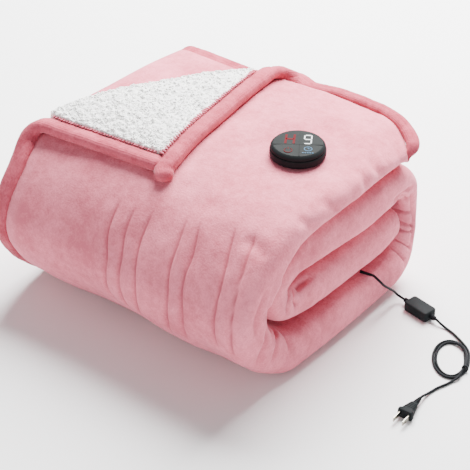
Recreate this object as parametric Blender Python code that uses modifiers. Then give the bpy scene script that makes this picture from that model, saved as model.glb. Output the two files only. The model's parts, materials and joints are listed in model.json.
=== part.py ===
# Electric heated blanket, folded in thirds and wound into a thick bundle, with one corner turned back
# over its fluffy lining, a round controller on top and a mains cord with an in-line box and a plug.
#
# Metres, +Z up. X runs along the bundle, from the bound left end to the puffy right-hand folds.
# The front fold faces -Y. The origin is at the bottom centre of the bundle.

import math

import bmesh
import bpy
import numpy as np
from mathutils import Matrix, Vector

MM = 0.001

# ---- driving sizes ----------------------------------------------------------------------------
BUNDLE_LEFT = -0.216          # outer edge of the side binding
LEFT_FOLD = -0.226            # smooth fold between the middle and the inner ply
BINDING_WIDTH = 0.0245        # sewn binding, seen flat
BINDING_SIDES = 10
SEAM_GAP = 0.0003             # between two sewn pieces
SEAM_X = BUNDLE_LEFT + BINDING_WIDTH + SEAM_GAP
PLY_MOST = 0.0165             # lofty flannel and fleece, one ply
PLY_GAP_LEAST = 0.0017        # between plies where they are pressed together
RIGHT_FOLD_DEPTH = 0.030      # how far the right-hand fold takes to turn
LEFT_FOLD_DEPTH = 0.024
FOLD_FULLNESS = 2.5           # superellipse power of the right-hand fold, 2 is a plain ellipse
RIGHT_FOLD_STEPS = 8
LEFT_FOLD_STEPS = 6
MIDDLE_PLY_SHORT = 0.004      # the middle ply stops this much short of the right-hand fold
STEPS_PER_ROW = 2             # stations of the winding for each row of the table below

BUNDLE_SHIFT = (0.0115, -0.0056)   # brings the origin under the middle of the bundle

CORNER_START = 0.085          # from here to the right the back edge curves round the corner
CORNER_DROP = 0.042           # how far forward the back edge has curved at the right-hand fold
CORNER_REACH = 4              # rows of the winding over which that curve dies away
CORNER_DROOP = 0.007          # the upper plies sink this far at that corner
DROOP_START = 0.140
DROOP_REACH = 1.6

GROOVE_GROUPS = ((-0.025, 3), (0.076, 2), (0.153, 2))   # first groove of a group, how many
GROOVE_PITCH = 0.0245
GROOVE_HALF_WIDTH = 0.0055
GROOVE_DEPTH = 0.0030
OUTER_MARKS = 7 + 3 * sum(count for _, count in GROOVE_GROUPS)
GROOVE_ROWS = (3.6, 5.0, 8.3, 9.4)                      # fades in, full, full, fades out

# The winding, seen along X: the outer and the inner face of the folded strip, in millimetres, from
# the bound end at the top of the back, down the front, under the bundle, up the back and inwards.
# right_x is how far the right-hand fold reaches.
WINDING = (
    # name            outer_y outer_z inner_y inner_z right_x
    ("back_edge",       182,   230,   184,   196,   188),
    ("top_rear",        118,   237,   118,   199,   200),
    ("top_middle",       40,   238,    40,   200,   203),
    ("top_front",       -45,   237,   -40,   200,   202),
    ("shoulder",       -114,   221,   -86,   187,   199),
    ("front_high",     -166,   184,  -115,   162,   200),
    ("front",          -197,   132,  -133,   130,   201),
    ("front_low",      -187,    80,  -127,    96,   200),
    ("front_heel",     -142,    28,  -103,    73,   198),
    ("sole_front",      -88,     0,   -76,    60,   200),
    ("sole_middle",      10,     0,    10,    60,   202),
    ("sole_rear",       116,     0,   112,    61,   200),
    ("back_heel",       172,    19,   146,    65,   197),
    ("back_low",        199,    60,   160,    80,   193),
    ("back",            205,   105,   164,   104,   190),
    ("back_high",       194,   153,   161,   126,   191),
    ("back_crown",      162,   184,   150,   138,   194),
    ("second_rear",     112,   193,   110,   138,   197),
    ("second_middle",    20,   195,    20,   137,   197),
    ("second_front",    -60,   192,   -60,   136,   194),
    ("turn_high",      -102,   167,   -74,   134,   191),
    ("turn",           -128,   131,   -82,   131,   188),
    ("turn_low",       -108,    86,   -76,   128,   190),
    ("third_front",     -60,    66,   -60,   126,   193),
    ("third_middle",     30,    65,    30,   128,   195),
    ("third_rear",      108,    67,   108,   129,   194),
    ("third_end",       150,    74,   150,   122,   188),
)
COLUMNS = ("outer_y", "outer_z", "inner_y", "inner_z", "right_x")
SHOULDER_ROW = 4.15           # where the side edge leaves the strip and turns over

# The line on which the corner is turned back, seen from above: start, middle and end of a bowed curve.
TURN_LINE = ((-0.203, -0.124), (-0.139, 0.012), (-0.036, 0.178))
CORNER_TIP = (0.010, -0.106)  # the corner of the cloth after it has been turned back
FLANNEL_THICK = 0.0055
SHERPA_THICK = 0.0070
TURN_RADIUS = 0.0050          # of the flannel's middle at the turn
LIFT_AT_TURN = 0.0040         # free height under the turned corner
LIFT_AT_TIP = 0.0025
CORNER_THICK = FLANNEL_THICK + SEAM_GAP + SHERPA_THICK
SHERPA_TURN = -0.80           # where the lining starts round the turn, -1 is its underside
TURN_SLANT = (0.100, 0.112)    # how far each binding shifts along the turn while it goes round it
TURN_STEPS = 6
CORNER_ACROSS = 14
CORNER_ALONG = 8
CORNER_ROOT = 0.008           # how far the turned flannel reaches back into the outer ply
CORNER_LAST = 0.790           # the lining's last row, where the two bindings have nearly met
SIDE_BINDING_LAST = 0.825
END_BINDING_LAST = 0.965
SIDE_BINDING_STOP = 0.80      # rows between the shoulder and the place where the strip is left
SHOULDER_BULGE = 0.009        # the side binding bows out this far where it rounds the shoulder
BULGE_REACH = 3.5             # rows of the winding over which it has come back
BINDING_FILL = 0.96
END_ROUND = 0.30              # a binding's end is rounded by this share of its thickness
END_SHRINK = 0.62
END_BINDING_MARKS = (-0.118, -0.060, 0.0, 0.050, 0.085, 0.105, 0.122, 0.136, 0.148, 0.157)

CONTROLLER_SPOT = (0.110, 0.025)
CONTROLLER_RADIUS = 0.0358
CONTROLLER_BASE = 0.0105
CONTROLLER_FACE = 0.0065
CONTROLLER_FACE_INSET = 0.0022
CONTROLLER_SIDES = 40

CORD_RADIUS = 0.00175
CORD_STEP = 0.0085            # between the points of a cord's tube
FLOOR_CLEAR = 0.0004          # the cord's underside above the surface
CORD_REST = CORD_RADIUS + FLOOR_CLEAR
CORD_STRAIGHT = 0.004         # a cord is straight this far where it leaves a piece
CORD_END_GAP = 0.0010         # from a cord's end to the piece it enters

SLEEVE_START = (0.1800, 0.0750, 0.0628)
SLEEVE_WAY = (1.0, 0.28, -0.10)
SLEEVE_LENGTH = 0.016
SLEEVE_RADII = (0.0027, 0.0021)
LEAD_ROUTE = (
    (0.2080, 0.0820, 0.0575), (0.2115, 0.0890, 0.0490), (0.2110, 0.1010, 0.0360),
    (0.2105, 0.1130, 0.0220), (0.2120, 0.1220, 0.0120),
)
MAIN_ROUTE = (
    (0.2870, 0.1130, 0.0042), (0.2960, 0.1120, CORD_REST), (0.3060, 0.1093, CORD_REST),
    (0.3170, 0.1050, CORD_REST), (0.3280, 0.1005, CORD_REST), (0.3390, 0.0950, CORD_REST),
    (0.3490, 0.0872, CORD_REST),
)
TAIL_ROUTE = (
    (0.3590, 0.0240, CORD_REST), (0.3560, 0.0140, CORD_REST), (0.3520, 0.0030, CORD_REST),
    (0.3495, -0.0090, CORD_REST), (0.3485, -0.0210, 0.0044),
)

BOX_CENTRE = (0.2490, 0.1193)
BOX_HEADING = math.radians(-10.5)
BOX_SIZE = (0.0400, 0.0225, 0.0140)
BOX_ROUND = 0.0035
NUB_LENGTH = 0.007
NUB_RADII = (0.0034, 0.0026)

COIL_CENTRE = (0.3340, 0.0615)
COIL_HALF = (0.0355, 0.0205)  # half axes of the coil's middle line
COIL_HEADING = math.radians(-58)
COIL_TUBE = 0.0046
COIL_STEPS = 28
MAIN_MEETS_COIL = math.radians(90)   # angles round the coil, each at one of its steps
TAIL_LEAVES_COIL = 2 * math.pi / COIL_STEPS

PLUG_END = (0.3490, -0.0330)  # where the cord enters the plug's strain relief
PLUG_HEADING = math.radians(-87)
RELIEF_LENGTH = 0.013
RELIEF_RADII = (0.0024, 0.0044)
PLUG_SIZE = (0.024, 0.0205, 0.0135)
BLADE_SIZE = (0.0155, 0.0015, 0.0063)
BLADE_PITCH = 0.0127


# ---- scene and materials ----------------------------------------------------------------------
for old in list(bpy.data.objects):
    bpy.data.objects.remove(old, do_unlink=True)

parts = bpy.data.collections.new("electric_heated_blanket")
cutters = bpy.data.collections.new("joined_pieces")
for collection in (parts, cutters):
    bpy.context.scene.collection.children.link(collection)


def material(name, colour, roughness, metallic=0.0):
    made = bpy.data.materials.new(name)
    made.use_nodes = True
    shader = made.node_tree.nodes["Principled BSDF"]
    shader.inputs["Base Color"].default_value = (*colour, 1.0)
    shader.inputs["Roughness"].default_value = roughness
    shader.inputs["Metallic"].default_value = metallic
    return made


FLANNEL = material("rose_flannel", (0.72, 0.36, 0.41), 0.85)
BINDING = material("rose_binding", (0.66, 0.28, 0.33), 0.80)
SHERPA = material("white_sherpa", (0.90, 0.91, 0.89), 0.95)
CASE = material("controller_black", (0.03, 0.035, 0.033), 0.45)
FACE = material("controller_grey", (0.11, 0.12, 0.115), 0.30)
CORD = material("cord_black", (0.03, 0.032, 0.035), 0.50)
BRASS = material("blade_metal", (0.75, 0.68, 0.52), 0.30, 1.0)


def link(name, mesh, finish, smooth=True):
    made = bpy.data.objects.new(name, mesh)
    parts.objects.link(made)
    mesh.materials.clear()
    mesh.materials.append(finish)
    if smooth:
        mesh.shade_smooth()
        mesh.set_sharp_from_angle(angle=math.radians(50))
    return made


# ---- the winding ------------------------------------------------------------------------------
def smooth(values, row):
    """A smooth curve through the table's values, read at a row number that need not be whole."""
    last = len(values) - 1
    row = min(max(row, 0.0), float(last))
    low = min(int(row), last - 1)
    part = row - low
    before, start, end, after = (values[min(max(low + k, 0), last)] for k in (-1, 0, 1, 2))
    lead_in = 0.5 * (end - before)
    lead_out = 0.5 * (after - start)
    square, cube = part * part, part ** 3
    return (start * (2 * cube - 3 * square + 1) + lead_in * (cube - 2 * square + part)
            + end * (3 * square - 2 * cube) + lead_out * (cube - square))


LAST_ROW = len(WINDING) - 1
TABLE = {column: [row[1 + k] * MM for row in WINDING] for k, column in enumerate(COLUMNS)}


def section(row):
    """Outer point, inner point and right-hand reach of the strip at one place of the winding."""
    value = {column: smooth(TABLE[column], row) for column in COLUMNS}
    outer = Vector((0.0, value["outer_y"], max(value["outer_z"], 0.0)))
    inner = Vector((0.0, value["inner_y"], value["inner_z"]))
    return outer, inner, value["right_x"]


def strip_depth(row):
    outer, inner, _ = section(row)
    return (inner - outer).length


def ease(value):
    value = min(max(value, 0.0), 1.0)
    return value * value * (3.0 - 2.0 * value)


def strip_point(x, row, depth):
    """A point of the strip: along X, along the winding, and below its outer face."""
    outer, inner, _ = section(row)
    place = outer + (inner - outer) * (depth / (inner - outer).length)
    past = max(x - CORNER_START, 0.0) / (TABLE["right_x"][0] - CORNER_START)
    place.y -= CORNER_DROP * past ** 2 * (1.0 - ease(row / CORNER_REACH))
    droop = ease((x - DROOP_START) / (TABLE["right_x"][0] - DROOP_START)) * (1.0 - ease(row / DROOP_REACH))
    place.z -= CORNER_DROOP * droop * (1.0 - depth / (inner - outer).length)
    place.x = x
    return place


def ply(row):
    """Thickness of a ply and the space between plies."""
    depth = strip_depth(row)
    thick = min(PLY_MOST, (depth - 2 * PLY_GAP_LEAST) / 3)
    return thick, (depth - 3 * thick) / 2


def turn_line(part):
    """The bowed line on which the corner is turned back, from the shoulder to the back edge."""
    start, middle, end = (Vector(point) for point in TURN_LINE)
    through = 2 * middle - 0.5 * (start + end)
    return start * (1 - part) ** 2 + through * 2 * part * (1 - part) + end * part ** 2


def turn_outward(part, step=0.01):
    """Level direction out of the bundle, square to the turn line."""
    line = (turn_line(part + step) - turn_line(part - step)).normalized()
    return Vector((-line.y, line.x))


def turn_x(y):
    """X of that line at a given Y, found by halving."""
    low, high = 0.0, 1.0
    for _ in range(30):
        half = 0.5 * (low + high)
        if turn_line(half).y < y:
            low = half
        else:
            high = half
    return turn_line(low).x


def outer_ply_left(row):
    """Left edge of the outer ply's flannel: at the binding, or at the turned corner."""
    if row >= SHOULDER_ROW:
        return SEAM_X
    return max(SEAM_X, turn_x(section(row)[0].y))


def groove_places():
    return [first + GROOVE_PITCH * k for first, count in GROOVE_GROUPS for k in range(count)]


def groove_depth(row):
    fade_in, full, still, fade_out = GROOVE_ROWS
    rise = ease((row - fade_in) / (full - fade_in))
    return GROOVE_DEPTH * rise * ease((fade_out - row) / (fade_out - still))


def half_round(centre_x, reach, centre_depth, half, first, last, steps, power):
    """Points of a rounded fold end, between two angles given in quarter turns."""
    points = []
    for k in range(1, steps):
        angle = math.radians(90) * (first + (last - first) * k / steps)
        across, along = math.cos(angle), math.sin(angle)
        points.append((
            centre_x + reach * math.copysign(abs(across) ** (2 / power), across),
            centre_depth + half * math.copysign(abs(along) ** (2 / power), along),
        ))
    return points


def ply_line(row, marks):
    """The strip cut across: pairs of a flannel-side and a fleece-side point, each (x, depth), from the
    outer ply's left edge round the right-hand fold, back along the inner ply, round the left-hand
    fold and along the middle ply. marks are the outer ply's own places, each (x, groove share)."""
    thick, gap = ply(row)
    depth = strip_depth(row)
    fold_x = section(row)[2] - RIGHT_FOLD_DEPTH
    left = outer_ply_left(row)
    left_x = LEFT_FOLD + LEFT_FOLD_DEPTH
    top = thick + gap
    stretch = (fold_x - left) / (fold_x - SEAM_X)
    pairs = []
    for x, share in marks:
        place = fold_x - (fold_x - x) * stretch
        pairs.append(((place, share * groove_depth(row)), (place, thick)))
    half = depth / 2
    pairs += zip(
        half_round(fold_x, RIGHT_FOLD_DEPTH, half, half, -1, 1, RIGHT_FOLD_STEPS, FOLD_FULLNESS),
        half_round(fold_x, RIGHT_FOLD_DEPTH - thick, half, half - thick, -1, 1, RIGHT_FOLD_STEPS,
                   FOLD_FULLNESS))
    pairs += [((x, depth), (x, depth - thick)) for x in (fold_x, 0.0, left_x)]
    middle, reach = (top + depth) / 2, (depth - top) / 2
    pairs += zip(
        half_round(left_x, -LEFT_FOLD_DEPTH, middle, reach, 1, -1, LEFT_FOLD_STEPS, 2.0),
        half_round(left_x, thick - LEFT_FOLD_DEPTH, middle, reach - thick, 1, -1, LEFT_FOLD_STEPS, 2.0))
    pairs += [((x, top), (x, top + thick)) for x in (left_x, 0.0, fold_x - MIDDLE_PLY_SHORT)]
    return pairs


def outer_marks(row):
    """Places across the outer ply: plain ones, and three for each stitched groove."""
    fold_x = section(row)[2] - RIGHT_FOLD_DEPTH
    marks = [(x, 0.0) for x in (SEAM_X, -0.175, -0.135, -0.090, -0.058, 0.125, fold_x)]
    for place in groove_places():
        marks += [(place + side * GROOVE_HALF_WIDTH, 1.0 - abs(side)) for side in (-1, 0, 1)]
    return sorted(marks)


def profile(row):
    """Closed outline of the three plies and the two folds that join them."""
    pairs = ply_line(row, outer_marks(row))
    coarse = [pair for k, pair in enumerate(pairs) if k >= OUTER_MARKS or k % 6 == 0 or k == OUTER_MARKS - 1]
    return [flannel for flannel, _ in pairs] + [fleece for _, fleece in reversed(coarse)]


def loft(name, rings, finish):
    """A closed body through equal rings of points, with a face on each end."""
    work = bmesh.new()
    loops = [[work.verts.new(point) for point in ring] for ring in rings]
    count = len(loops[0])
    for near, far in zip(loops, loops[1:]):
        for k in range(count):
            work.faces.new((near[k], near[(k + 1) % count], far[(k + 1) % count], far[k]))
    work.faces.new(list(reversed(loops[0])))
    work.faces.new(loops[-1])
    bmesh.ops.recalc_face_normals(work, faces=work.faces)
    bmesh.ops.triangulate(work, faces=[face for face in work.faces if len(face.verts) > 4])
    mesh = bpy.data.meshes.new(name)
    work.to_mesh(mesh)
    work.free()
    return link(name, mesh, finish)


def stations(first=0.0, last=LAST_ROW):
    count = max(1, round((last - first) * STEPS_PER_ROW))
    return [first + (last - first) * k / count for k in range(count + 1)]


def build_wound_cloth():
    rings = [[strip_point(x, row, depth) for x, depth in profile(row)] for row in stations()]
    return loft("flannel_blanket", rings, FLANNEL)


# ---- the turned-back corner -------------------------------------------------------------------
def top_height(x, y):
    """Height of the outer ply's upper face above a spot of the bundle."""
    low, high = 0.0, SHOULDER_ROW + 1.5
    for _ in range(30):
        half = 0.5 * (low + high)
        if strip_point(x, half, 0.0).y > y:
            low = half
        else:
            high = half
    return strip_point(x, low, 0.0).z


def corner_point(across, along, height):
    """A point of the turned corner: across from the shoulder to the back edge, along from the turn
    to the tip, and height above the underside of the turned cloth."""
    root = turn_line(across)
    root_top = top_height(root.x, root.y)
    if along >= 0:
        spot = root.lerp(Vector(CORNER_TIP), along)
        lift = LIFT_AT_TURN + (LIFT_AT_TIP - LIFT_AT_TURN) * along
        level = top_height(spot.x, spot.y) + lift + height
        return Vector((spot.x, spot.y, level))
    # round the turn: an arc about a centre just above the outer ply's edge
    angle = math.radians(90 + 180 * along)          # 90 degrees is the crown of the turn
    radius = TURN_RADIUS - FLANNEL_THICK / 2 + height
    centre = root_top + LIFT_AT_TURN - TURN_RADIUS + FLANNEL_THICK / 2
    place = root + turn_outward(across) * (radius * math.cos(angle))
    return Vector((place.x, place.y, centre + radius * math.sin(angle)))


def corner_sheet(name, low, high, first_along, finish, root=0.0):
    """One layer of the turned corner, between its bindings, as a sheet with its own thickness. A root
    reaches into the outer ply, tapered, so that the sheet is one with it."""
    turned = [first_along * (1 - k / TURN_STEPS) for k in range(TURN_STEPS)]
    laid = [CORNER_LAST * k / CORNER_ALONG for k in range(CORNER_ALONG + 1)]
    rings = []
    for k in range(CORNER_ACROSS + 1):
        share = k / CORNER_ACROSS
        upper, lower = [], []
        if root:
            near, far = (binding_share(end, 0.0, BINDING_WIDTH + SEAM_GAP) for end in (0, 1))
            across = near + (1 - near - far) * share
            inward = turn_outward(across) * -root
            for side, height in ((lower, low + root / 8), (upper, high - root / 8)):
                side.append(corner_point(across, first_along, height) + inward.to_3d())
        for along in turned + laid:
            near, far = (binding_share(end, max(along, 0.0), BINDING_WIDTH + SEAM_GAP) for end in (0, 1))
            across = near + (1 - near - far) * share
            lower.append(corner_point(across, along, low))
            upper.append(corner_point(across, along, high))
        rings.append(lower + upper[::-1])
    return loft(name, rings, finish)


def binding_share(at_back, along, width):
    """Share of a row of the turned corner that lies within a width of its edge, at either end."""
    tip = Vector(CORNER_TIP)
    corner = turn_line(at_back)
    leg = (tip - corner).normalized()
    low, high = 0.0, 1.0
    for _ in range(24):
        half = 0.5 * (low + high)
        spot = turn_line(1 - half if at_back else half) - corner
        if abs(spot.cross(leg)) * (1 - along) < width:
            low = half
        else:
            high = half
    return low


def build_corner(cloth):
    """The turned flannel is one piece with the cloth; the lining lies on it."""
    turned = corner_sheet("turned_flannel", 0.0, FLANNEL_THICK, -1.0, FLANNEL, CORNER_ROOT)
    parts.objects.unlink(turned)
    cutters.objects.link(turned)
    turned.hide_render = True
    turned.display_type = "WIRE"
    join = cloth.modifiers.new("Turned corner", "BOOLEAN")
    join.operation = "UNION"
    join.solver = "EXACT"
    join.object = turned
    corner_sheet("sherpa_lining", FLANNEL_THICK + SEAM_GAP, CORNER_THICK, SHERPA_TURN, SHERPA)


# ---- bindings ---------------------------------------------------------------------------------
def sweep(name, places, fleece_ways, thicks, finish):
    """A flat, soft-edged strip along a path, with the way to its fleece side at each place."""
    rings = []
    for k, place in enumerate(places):
        ahead = (places[min(k + 1, len(places) - 1)] - places[max(k - 1, 0)]).normalized()
        across = ahead.cross(fleece_ways[k]).normalized()
        up = across.cross(ahead)
        ring = []
        for side in range(BINDING_SIDES):
            angle = 2 * math.pi * (side + 0.5) / BINDING_SIDES
            flat, tall = math.cos(angle), math.sin(angle)
            flat = math.copysign(abs(flat) ** 0.5, flat) * BINDING_WIDTH / 2
            tall = math.copysign(abs(tall) ** 0.8, tall) * thicks[k] / 2
            ring.append(place + across * flat + up * tall)
        rings.append(ring)
    for end, inner in ((0, 1), (-1, -2)):
        beyond = (places[end] - places[inner]).normalized() * (thicks[end] * END_ROUND)
        tip = [places[end] + beyond + (point - places[end]) * END_SHRINK for point in rings[end]]
        rings.insert(0 if end == 0 else len(rings), tip)
    return loft(name, rings, finish)


def corner_binding(at_back, along):
    """Middle of the binding on the turned corner, and the way to its fleece side."""
    inset = binding_share(at_back, max(along, 0.0), BINDING_WIDTH / 2)
    inset -= max(-along, 0.0) * TURN_SLANT[at_back]
    across = 1 - inset if at_back else inset
    low, high = (corner_point(across, along, height) for height in (0.0, CORNER_THICK))
    return (low + high) / 2, (high - low).normalized()


def turned_steps(last):
    turned = [k / TURN_STEPS - 1 for k in range(TURN_STEPS)]
    return turned + [last * k / CORNER_ALONG for k in range(CORNER_ALONG + 1)]


def build_side_binding():
    """Along the outer ply's left edge, from inside the winding to the shoulder, and over to the tip."""
    places, ways, thicks = [], [], []
    stop = SHOULDER_ROW + SIDE_BINDING_STOP
    for row in reversed(stations(stop)):
        outer, inner, _ = section(row)
        inward = (inner - outer).normalized()
        bulge = SHOULDER_BULGE * ease(1 - (row - stop) / BULGE_REACH)
        places.append(strip_point(BUNDLE_LEFT + BINDING_WIDTH / 2, row, ply(row)[0] / 2) - inward * bulge)
        ways.append(inward)
        thicks.append(ply(row)[0] * BINDING_FILL)
    last_bulge = places[-1] - strip_point(places[-1].x, stop, ply(stop)[0] / 2)
    for along in turned_steps(SIDE_BINDING_LAST):
        place, way = corner_binding(0, along)
        places.append(place + last_bulge * ease(1 - (along + 1) / 1.3))
        ways.append(way)
        thicks.append(CORNER_THICK)
    return sweep("binding_side", places, ways, thicks, BINDING)


def build_end_binding():
    """From the tip over the hump at the back edge, then along the end of all three plies."""
    places, ways, thicks = [], [], []
    for along in reversed(turned_steps(END_BINDING_LAST)):
        place, way = corner_binding(1, along)
        places.append(place)
        ways.append(way)
        thicks.append(CORNER_THICK)
    marks = [(x, 0.0) for x in END_BINDING_MARKS]
    edge, edge_ways = [], []
    for flannel, fleece in ply_line(0.0, marks):
        high, low = (strip_point(x, 0.0, depth) for x, depth in (flannel, fleece))
        edge.append((high + low) / 2)
        edge_ways.append((low - high).normalized())
    for k, place in enumerate(edge):
        ahead = (edge[min(k + 1, len(edge) - 1)] - edge[max(k - 1, 0)]).normalized()
        across = ahead.cross(edge_ways[k]).normalized()
        places.append(place + across * (BINDING_WIDTH / 2 + SEAM_GAP))
        ways.append(edge_ways[k])
        thicks.append(ply(0.0)[0] * BINDING_FILL)
    return sweep("binding_end", places, ways, thicks, BINDING)


# ---- controller -------------------------------------------------------------------------------
def turned_disc(name, radius, height, low, spot, rounding, finish):
    work = bmesh.new()
    bmesh.ops.create_cone(work, cap_ends=True, segments=CONTROLLER_SIDES, radius1=radius, radius2=radius,
                          depth=height)
    mesh = bpy.data.meshes.new(name)
    work.to_mesh(mesh)
    work.free()
    made = link(name, mesh, finish)
    made.location = (spot[0], spot[1], low + height / 2)
    bevel = made.modifiers.new("Bevel", "BEVEL")
    bevel.width = rounding
    bevel.segments = 3
    bevel.limit_method = "ANGLE"
    return made


def controller_seat():
    """Highest point of the cloth under the controller."""
    x, y = CONTROLLER_SPOT
    ring = [math.radians(30 * k) for k in range(12)]
    spots = [(x + CONTROLLER_RADIUS * math.cos(a), y + CONTROLLER_RADIUS * math.sin(a)) for a in ring]
    return max(top_height(*spot) for spot in spots + [CONTROLLER_SPOT])


def build_controller():
    seat = controller_seat() + SEAM_GAP
    turned_disc("controller_base", CONTROLLER_RADIUS, CONTROLLER_BASE, seat, CONTROLLER_SPOT, 0.0022, CASE)
    turned_disc("controller_face", CONTROLLER_RADIUS - CONTROLLER_FACE_INSET, CONTROLLER_FACE,
                seat + CONTROLLER_BASE + SEAM_GAP, CONTROLLER_SPOT, 0.0016, FACE)


# ---- cord, box and plug -----------------------------------------------------------------------
def heading(angle):
    return Vector((math.cos(angle), math.sin(angle), 0.0))


def placed(name, work, centre, way, finish, rounding=0.0):
    """An object whose local X axis points along way, with its middle at centre."""
    mesh = bpy.data.meshes.new(name)
    work.to_mesh(mesh)
    work.free()
    made = link(name, mesh, finish)
    made.rotation_euler = way.to_track_quat("X", "Z").to_euler()
    made.location = centre
    if rounding:
        bevel = made.modifiers.new("Bevel", "BEVEL")
        bevel.width = rounding
        bevel.segments = 2
        bevel.limit_method = "ANGLE"
    return made


def block(name, size, centre, way, rounding, finish):
    work = bmesh.new()
    bmesh.ops.create_cube(work, size=1.0)
    bmesh.ops.scale(work, vec=size, verts=work.verts)
    return placed(name, work, centre, way, finish, rounding)


def taper(name, start, way, length, radii, finish, sides=14):
    """A tapered sleeve from start along way."""
    work = bmesh.new()
    bmesh.ops.create_cone(work, cap_ends=True, segments=sides, radius1=radii[0], radius2=radii[1],
                          depth=length)
    bmesh.ops.rotate(work, cent=(0, 0, 0), matrix=Matrix.Rotation(math.radians(90), 3, "Y"),
                     verts=work.verts)
    return placed(name, work, start + way * (length / 2), way, finish)


def evenly(route, step):
    """Points about a step apart on a smooth curve through the route's points."""
    fine = []
    axes = [[point[k] for point in route] for k in range(3)]
    count = 24 * (len(route) - 1)
    for k in range(count + 1):
        row = (len(route) - 1) * k / count
        fine.append(Vector([smooth(axis, row) for axis in axes]))
    lengths = np.cumsum([0.0] + [(b - a).length for a, b in zip(fine, fine[1:])])
    pieces = max(2, round(lengths[-1] / step))
    wanted = np.linspace(0.0, lengths[-1], pieces + 1)
    return [Vector([np.interp(w, lengths, [p[k] for p in fine]) for k in range(3)]) for w in wanted]


def tube(name, points, radius, finish, closed=False):
    curve = bpy.data.curves.new(name, "CURVE")
    curve.dimensions = "3D"
    spline = curve.splines.new("POLY")
    spline.points.add(len(points) - 1)
    for slot, point in zip(spline.points, points):
        slot.co = (*point, 1.0)
    spline.use_cyclic_u = closed
    curve.bevel_depth = radius
    curve.bevel_resolution = 2
    curve.use_fill_caps = not closed
    curve.materials.append(finish)
    made = bpy.data.objects.new(name, curve)
    parts.objects.link(made)
    return made


def coil_line():
    major, minor = heading(COIL_HEADING), heading(COIL_HEADING + math.radians(90))
    centre = Vector((*COIL_CENTRE, COIL_TUBE + FLOOR_CLEAR))
    return [centre + major * (COIL_HALF[0] * math.cos(2 * math.pi * k / COIL_STEPS))
            + minor * (COIL_HALF[1] * math.sin(2 * math.pi * k / COIL_STEPS)) for k in range(COIL_STEPS)]


def beside_coil(angle):
    """Where a cord on the floor lies against the coil, at an angle round it."""
    major, minor = heading(COIL_HEADING), heading(COIL_HEADING + math.radians(90))
    across, along = math.cos(angle), math.sin(angle)
    outward = (major * (COIL_HALF[1] * across) + minor * (COIL_HALF[0] * along)).normalized()
    level = COIL_TUBE - CORD_RADIUS
    away = math.sqrt((COIL_TUBE + CORD_RADIUS + SEAM_GAP) ** 2 - level ** 2)
    spot = Vector((*COIL_CENTRE, CORD_REST))
    return spot + major * (COIL_HALF[0] * across) + minor * (COIL_HALF[1] * along) + outward * away


def build_cord():
    sleeve_way = Vector(SLEEVE_WAY).normalized()
    sleeve = Vector(SLEEVE_START)
    taper("cord_sleeve", sleeve, sleeve_way, SLEEVE_LENGTH, SLEEVE_RADII, CORD)
    lead_start = sleeve + sleeve_way * (SLEEVE_LENGTH + CORD_END_GAP)

    box_way = heading(BOX_HEADING)
    box_level = BOX_SIZE[2] / 2 + FLOOR_CLEAR
    box = Vector((*BOX_CENTRE, box_level))
    block("inline_box", BOX_SIZE, box, box_way, BOX_ROUND, CASE)
    half = BOX_SIZE[0] / 2 + SEAM_GAP
    taper("box_nub_in", box - box_way * half, -box_way, NUB_LENGTH, NUB_RADII, CORD)
    taper("box_nub_out", box + box_way * half, box_way, NUB_LENGTH, NUB_RADII, CORD)
    nub_end = half + NUB_LENGTH + CORD_END_GAP

    lead = [lead_start, lead_start + sleeve_way * CORD_STRAIGHT] + [Vector(point) for point in LEAD_ROUTE]
    lead += [box - box_way * (nub_end + CORD_STRAIGHT), box - box_way * nub_end]
    tube("cord_lead", evenly(lead, CORD_STEP), CORD_RADIUS, CORD)
    main = [box + box_way * nub_end, box + box_way * (nub_end + CORD_STRAIGHT)]
    main += [Vector(point) for point in MAIN_ROUTE] + [beside_coil(MAIN_MEETS_COIL)]
    tube("cord_main", evenly(main, CORD_STEP), CORD_RADIUS, CORD)
    tube("cord_coil", coil_line(), COIL_TUBE, CORD, closed=True)

    plug_way = heading(PLUG_HEADING)
    relief = Vector((*PLUG_END, PLUG_SIZE[2] / 2 + FLOOR_CLEAR))
    tail = [beside_coil(TAIL_LEAVES_COIL)] + [Vector(point) for point in TAIL_ROUTE]
    tail += [relief - plug_way * (CORD_END_GAP + CORD_STRAIGHT), relief - plug_way * CORD_END_GAP]
    tube("cord_tail", evenly(tail, CORD_STEP), CORD_RADIUS, CORD)
    taper("plug_relief", relief, plug_way, RELIEF_LENGTH, RELIEF_RADII, CORD)
    body = relief + plug_way * (RELIEF_LENGTH + SEAM_GAP + PLUG_SIZE[0] / 2)
    block("plug_body", PLUG_SIZE, body, plug_way, 0.0030, CORD)
    face = body + plug_way * (PLUG_SIZE[0] / 2 + SEAM_GAP + BLADE_SIZE[0] / 2)
    aside = Vector((-plug_way.y, plug_way.x, 0.0))
    for name, side in (("plug_blade_left", 1), ("plug_blade_right", -1)):
        block(name, BLADE_SIZE, face + aside * (side * BLADE_PITCH / 2), plug_way, 0.0004, BRASS)


build_corner(build_wound_cloth())
build_side_binding()
build_end_binding()
build_controller()
build_cord()
for placed_piece in list(parts.objects) + list(cutters.objects):
    placed_piece.location += Vector((*BUNDLE_SHIFT, 0.0))
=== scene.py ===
# Folded electric heated blanket: a pink flannel throw with a white sherpa lining, wound into a thick
# bundle, with one corner turned back, a round controller on top and a black cord with a box and a plug.

import json
import math
import random

import bmesh
import bpy
import numpy as np
from mathutils import Matrix, Vector, noise

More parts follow.
